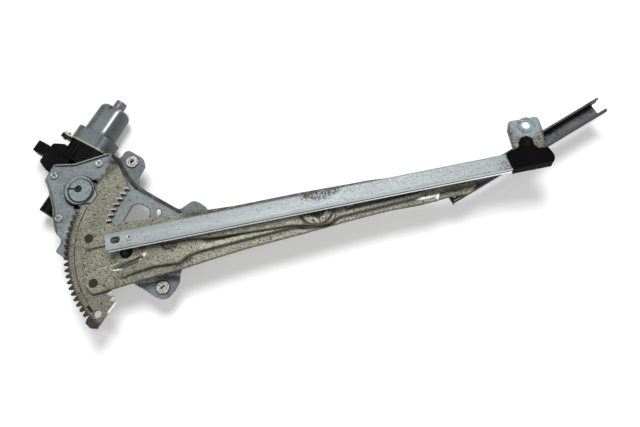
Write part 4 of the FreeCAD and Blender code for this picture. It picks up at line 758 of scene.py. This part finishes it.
ARM_LIGHT, ARM_DARK = (0.318, 0.325, 0.244), (0.212, 0.218, 0.155)
looks = {
    "plate_zinc": sheet("plate_zinc", (0.292, 0.340, 0.346), (0.200, 0.238, 0.246), rough=0.55, fine=0.30,
                        coarse=0.55, stains=plate_stains, sides=0.9, wear=0.15),
    "arm_zinc": sheet("arm_zinc", ARM_LIGHT, ARM_DARK, rough=0.52, fine=0.95, coarse=1.0,
                      stains=arm_stains, marks=arm_marks, wear=0.45, sides=0.85, crevice_shade=(0.007, 0.45, 1.0)),
    "sector_steel": sheet("sector_steel", (0.308, 0.311, 0.250), (0.208, 0.208, 0.158), rough=0.52,
                          fine=0.95, coarse=0.95, stains=sector_stains, marks=sector_marks, wear=0.4,
                          sides=0.7),
    "channel_zinc": sheet("channel_zinc", (0.400, 0.440, 0.440), (0.350, 0.388, 0.392), rough=0.48,
                          metallic=0.20, fine=0.04, coarse=0.35, cloud=0.15, streak=(14.0, 1.0, 1.0),
                          stains=channel_stains, marks=channel_marks, wear=0.3, sides=0.0),
    "channel_grey": sheet("channel_grey", (0.088, 0.101, 0.118), (0.052, 0.061, 0.073), fine=0.2,
                          coarse=0.5, stains=rail_stains, marks=rail_marks, wear=0.3, sides=0.3),
    "can_grey": sheet("can_grey", (0.178, 0.200, 0.208), (0.130, 0.148, 0.155), rough=0.46,
                      metallic=0.30, fine=0.15, coarse=0.5, cloud=0.3, stains=can_stains, wear=0.35,
                      sides=0.0),
    "nut_zinc": bright("nut_zinc", (0.62, 0.62, 0.58), contrast=0.38),
    "steel_fastener": bright("steel_fastener", (0.85, 0.87, 0.87), contrast=0.20),
    "housing_black": plastic("housing_black", (0.0032, 0.0032, 0.0036), rough=0.42, dust=0.05, gloss=0.09),
    "pad_black": felt("pad_black"),
    "shoe_nylon": plastic("shoe_nylon", (0.50, 0.47, 0.38), grain=700.0, rough=0.4, dust=0.2),
    "wheel_nylon": plastic("wheel_nylon", (0.62, 0.60, 0.55), grain=700.0, rough=0.35, dust=0.05),
    "magnet_ferrite": plastic("magnet_ferrite", (0.05, 0.05, 0.055), grain=700.0, rough=0.6, dust=0.05),
    "bronze": bright("bronze", (0.45, 0.30, 0.14), rough=0.4),
    "copper": bright("copper", (0.70, 0.38, 0.20), rough=0.3),
}
link_look = sheet("link_zinc", ARM_LIGHT, ARM_DARK, rough=0.52, fine=0.95, coarse=1.0,
                  stains=link_stains, wear=0.45, sides=0.85)
bracket_look = sheet("bracket_zinc", (0.215, 0.280, 0.310), (0.175, 0.225, 0.250), fine=0.20, coarse=0.5,
                     stains=bracket_stains, wear=0.4)

# Pieces that differ from the others of their material
special = {
    "equalizer_arm_upper": link_look,
    "equalizer_arm_lower": link_look,
    "end_bracket": bracket_look,
    "sector_rivets": bright("rivet_dark", (0.022, 0.019, 0.016), rough=0.65, metallic=0.1),
    "main_pivot_pin": bright("pin_grey", (0.22, 0.23, 0.22), rough=0.45, metallic=0.4, stains=hub_stains),
    "arm_bush": bright("bush_grey", (0.25, 0.26, 0.23), rough=0.45, metallic=0.3, stains=hub_stains),
    "cross_pin": bright("pin_greasy", (0.045, 0.036, 0.026), rough=0.35, metallic=0.4),
    # The pinion shaft is painted near black, as painted shade down the hole in the dome
    "pinion_shaft": bright("shaft_steel", (0.030, 0.029, 0.028), rough=0.5, metallic=0.2,
                           stains=shaft_end),
    "channel_stop": bright("stop_zinc", (0.90, 0.92, 0.92), rough=0.3, metallic=0.6, contrast=0.5,
                           stains=stop_stains),
}
for entry in frame["record"]["subparts"]:
    mesh = nodes[entry["node"]].data
    mesh.materials.clear()
    mesh.materials.append(special.get(entry["node"], looks[entry["material_slot"]]))


# Pieces

def linked(name, form, body, material):
    """Makes an object of a bmesh, which moves with a body."""
    mesh = bpy.data.meshes.new(name)
    form.to_mesh(mesh)
    form.free()
    mesh.materials.append(material)
    made = bpy.data.objects.new(name, mesh)
    bpy.context.scene.collection.objects.link(made)
    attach(made, body)
    return made


FELT_GRID = 0.0007
FELT_SWAY, FELT_FUZZ, FELT_SHRINK = 0.00018, 0.00008, 0.00022
SWAY_SCALE, FUZZ_SCALE = 160.0, 900.0


def felt_wrap():
    """The felt at the channel's end, softened from its solid, with a fibrous surface."""
    solid = nodes["felt_pad"]
    shape = bpy.data.objects.new("felt_shape", solid.data.copy())
    bpy.context.scene.collection.objects.link(shape)
    grid = shape.modifiers.new("grid", "REMESH")
    grid.mode = "VOXEL"
    grid.voxel_size = FELT_GRID
    smooth = shape.modifiers.new("smooth", "SMOOTH")
    smooth.iterations = 4
    held = shape.evaluated_get(bpy.context.evaluated_depsgraph_get())
    form = bmesh.new()
    form.from_mesh(held.to_mesh())
    held.to_mesh_clear()
    form.normal_update()
    for vert in form.verts:
        sway = noise.noise(vert.co * SWAY_SCALE) * FELT_SWAY + noise.noise(vert.co * FUZZ_SCALE) * FELT_FUZZ
        vert.co += vert.normal * (sway - FELT_SHRINK)
    for face in form.faces:
        face.smooth = True
    bpy.data.objects.remove(shape)
    piece = linked("felt_wrap", form, "lift_channel_body", looks["pad_black"])
    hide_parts("felt_pad")


THREAD_STEPS, THREAD_TURNS, THREAD_PITCH, THREAD_TOP = 24, 8, 0.001, -0.0054
THREAD_ROOT, THREAD_CREST, THREAD_HALF = 0.00302, 0.00258, 0.00042


def nut_threads():
    """The threads in the weld nuts, as ridges that wind down each bore."""
    profile = ((THREAD_ROOT, THREAD_HALF), (THREAD_CREST, 0.0), (THREAD_ROOT, -THREAD_HALF))
    for number, (x, y) in enumerate(NUTS):
        form = bmesh.new()
        rows = []
        for step in range(THREAD_STEPS * THREAD_TURNS):
            turn = 2.0 * math.pi * step / THREAD_STEPS
            height = THREAD_TOP - THREAD_PITCH * step / THREAD_STEPS
            rows.append([form.verts.new((x + reach * math.cos(turn), y + reach * math.sin(turn),
                                         height + lift)) for reach, lift in profile])
        for before, after in zip(rows, rows[1:]):
            for i in range(2):
                form.faces.new((before[i], before[i + 1], after[i + 1], after[i]))
        linked("nut_thread_%d" % number, form, "base", looks["nut_zinc"])


felt_wrap()
nut_threads()


# Floor, light and camera

PART_MIDDLE = (0.2, 0.03, 0.0)
FLOOR_HALF, FLOOR_GAP = 6.0, 0.001
FLOOR_LIT, FLOOR_SEEN, FLOOR_GLOW = (0.80, 0.80, 0.80), (0.97, 0.97, 0.97), 0.22
SKY_LIGHT, SKY_SEEN = 0.15, 1.0

# The camera fitted to the photograph: place, directions and focal length
CAMERA_PLACE = (0.20053, -0.31107, 0.88176)
CAMERA_RIGHT = (0.98055, -0.17577, -0.08731)
CAMERA_DOWN = (-0.19480, -0.92582, -0.32391)
CAMERA_AHEAD = (-0.02390, 0.33461, -0.94205)
SENSOR_WIDTH, FOCAL_PIXELS, PHOTO_PIXELS = 36.0, 800.0, 640.0


def floor():
    """A white floor that the camera sees brighter than the part does."""
    mesh = bpy.data.meshes.new("studio_floor")
    form = bmesh.new()
    bmesh.ops.create_grid(form, x_segments=2, y_segments=2, size=FLOOR_HALF)
    form.to_mesh(mesh)
    form.free()
    ground = bpy.data.objects.new("studio_floor", mesh)
    ground.location = (PART_MIDDLE[0], 0.0, cad_box[0][2] - FLOOR_GAP)
    bpy.context.scene.collection.objects.link(ground)
    g = Graph("floor_white")
    rays = g.node("ShaderNodeLightPath")
    seen = g.math("MAXIMUM", rays.outputs["Is Camera Ray"], rays.outputs["Is Glossy Ray"])
    diffuse = g.node("ShaderNodeBsdfDiffuse")
    g.link(g.mix(seen, FLOOR_LIT, FLOOR_SEEN), diffuse.inputs["Color"])
    glow = g.node("ShaderNodeEmission")
    g.link(g.times(seen, FLOOR_GLOW), glow.inputs["Strength"])
    both = g.node("ShaderNodeAddShader")
    g.link(diffuse.outputs[0], both.inputs[0])
    g.link(glow.outputs[0], both.inputs[1])
    output = g.node("ShaderNodeOutputMaterial")
    g.link(both.outputs[0], output.inputs["Surface"])
    mesh.materials.append(g.material)


def lamp(name, place, target, power, width):
    """A round area lamp that looks at a target."""
    light = bpy.data.lights.new(name, "AREA")
    light.shape = "DISK"
    light.size = width
    light.energy = power
    made = bpy.data.objects.new(name, light)
    made.location = place
    made.rotation_mode = "QUATERNION"
    made.rotation_quaternion = (Vector(target) - Vector(place)).to_track_quat("-Z", "Y")
    bpy.context.scene.collection.objects.link(made)


def world():
    """A white background for the camera and a weak light for the part."""
    sky = bpy.data.worlds.new("studio")
    bpy.context.scene.world = sky
    sky.use_nodes = True
    tree = sky.node_tree
    tree.nodes.clear()
    rays = tree.nodes.new("ShaderNodeLightPath")
    strength = tree.nodes.new("ShaderNodeMapRange")
    strength.inputs["To Min"].default_value = SKY_LIGHT
    strength.inputs["To Max"].default_value = SKY_SEEN
    tree.links.new(rays.outputs["Is Camera Ray"], strength.inputs["Value"])
    back = tree.nodes.new("ShaderNodeBackground")
    back.inputs["Color"].default_value = (1.0, 1.0, 1.0, 1.0)
    tree.links.new(strength.outputs["Result"], back.inputs["Strength"])
    output = tree.nodes.new("ShaderNodeOutputWorld")
    tree.links.new(back.outputs[0], output.inputs["Surface"])


def camera():
    """The camera that was fitted to the photograph."""
    lens = bpy.data.cameras.new("photo_camera")
    lens.sensor_width = SENSOR_WIDTH
    lens.lens = SENSOR_WIDTH * FOCAL_PIXELS / PHOTO_PIXELS
    lens.clip_start, lens.clip_end = 0.05, 30.0
    made = bpy.data.objects.new("photo_camera", lens)
    axes = Matrix((Vector(CAMERA_RIGHT), -Vector(CAMERA_DOWN), -Vector(CAMERA_AHEAD)))
    made.matrix_world = Matrix.Translation(CAMERA_PLACE) @ axes.transposed().to_4x4()
    bpy.context.scene.collection.objects.link(made)
    bpy.context.scene.camera = made


floor()
world()
lamp("key", place=(0.42, 1.05, 2.35), target=PART_MIDDLE, power=50.0, width=1.25)
lamp("fill", place=(0.3, -0.9, 1.5), target=PART_MIDDLE, power=2.5, width=1.2)
lamp("low", place=(0.35, -1.20, 0.36), target=(0.2, 0.0, 0.0), power=9.0, width=0.7)
camera()
bpy.context.scene.view_settings.view_transform = "Standard"
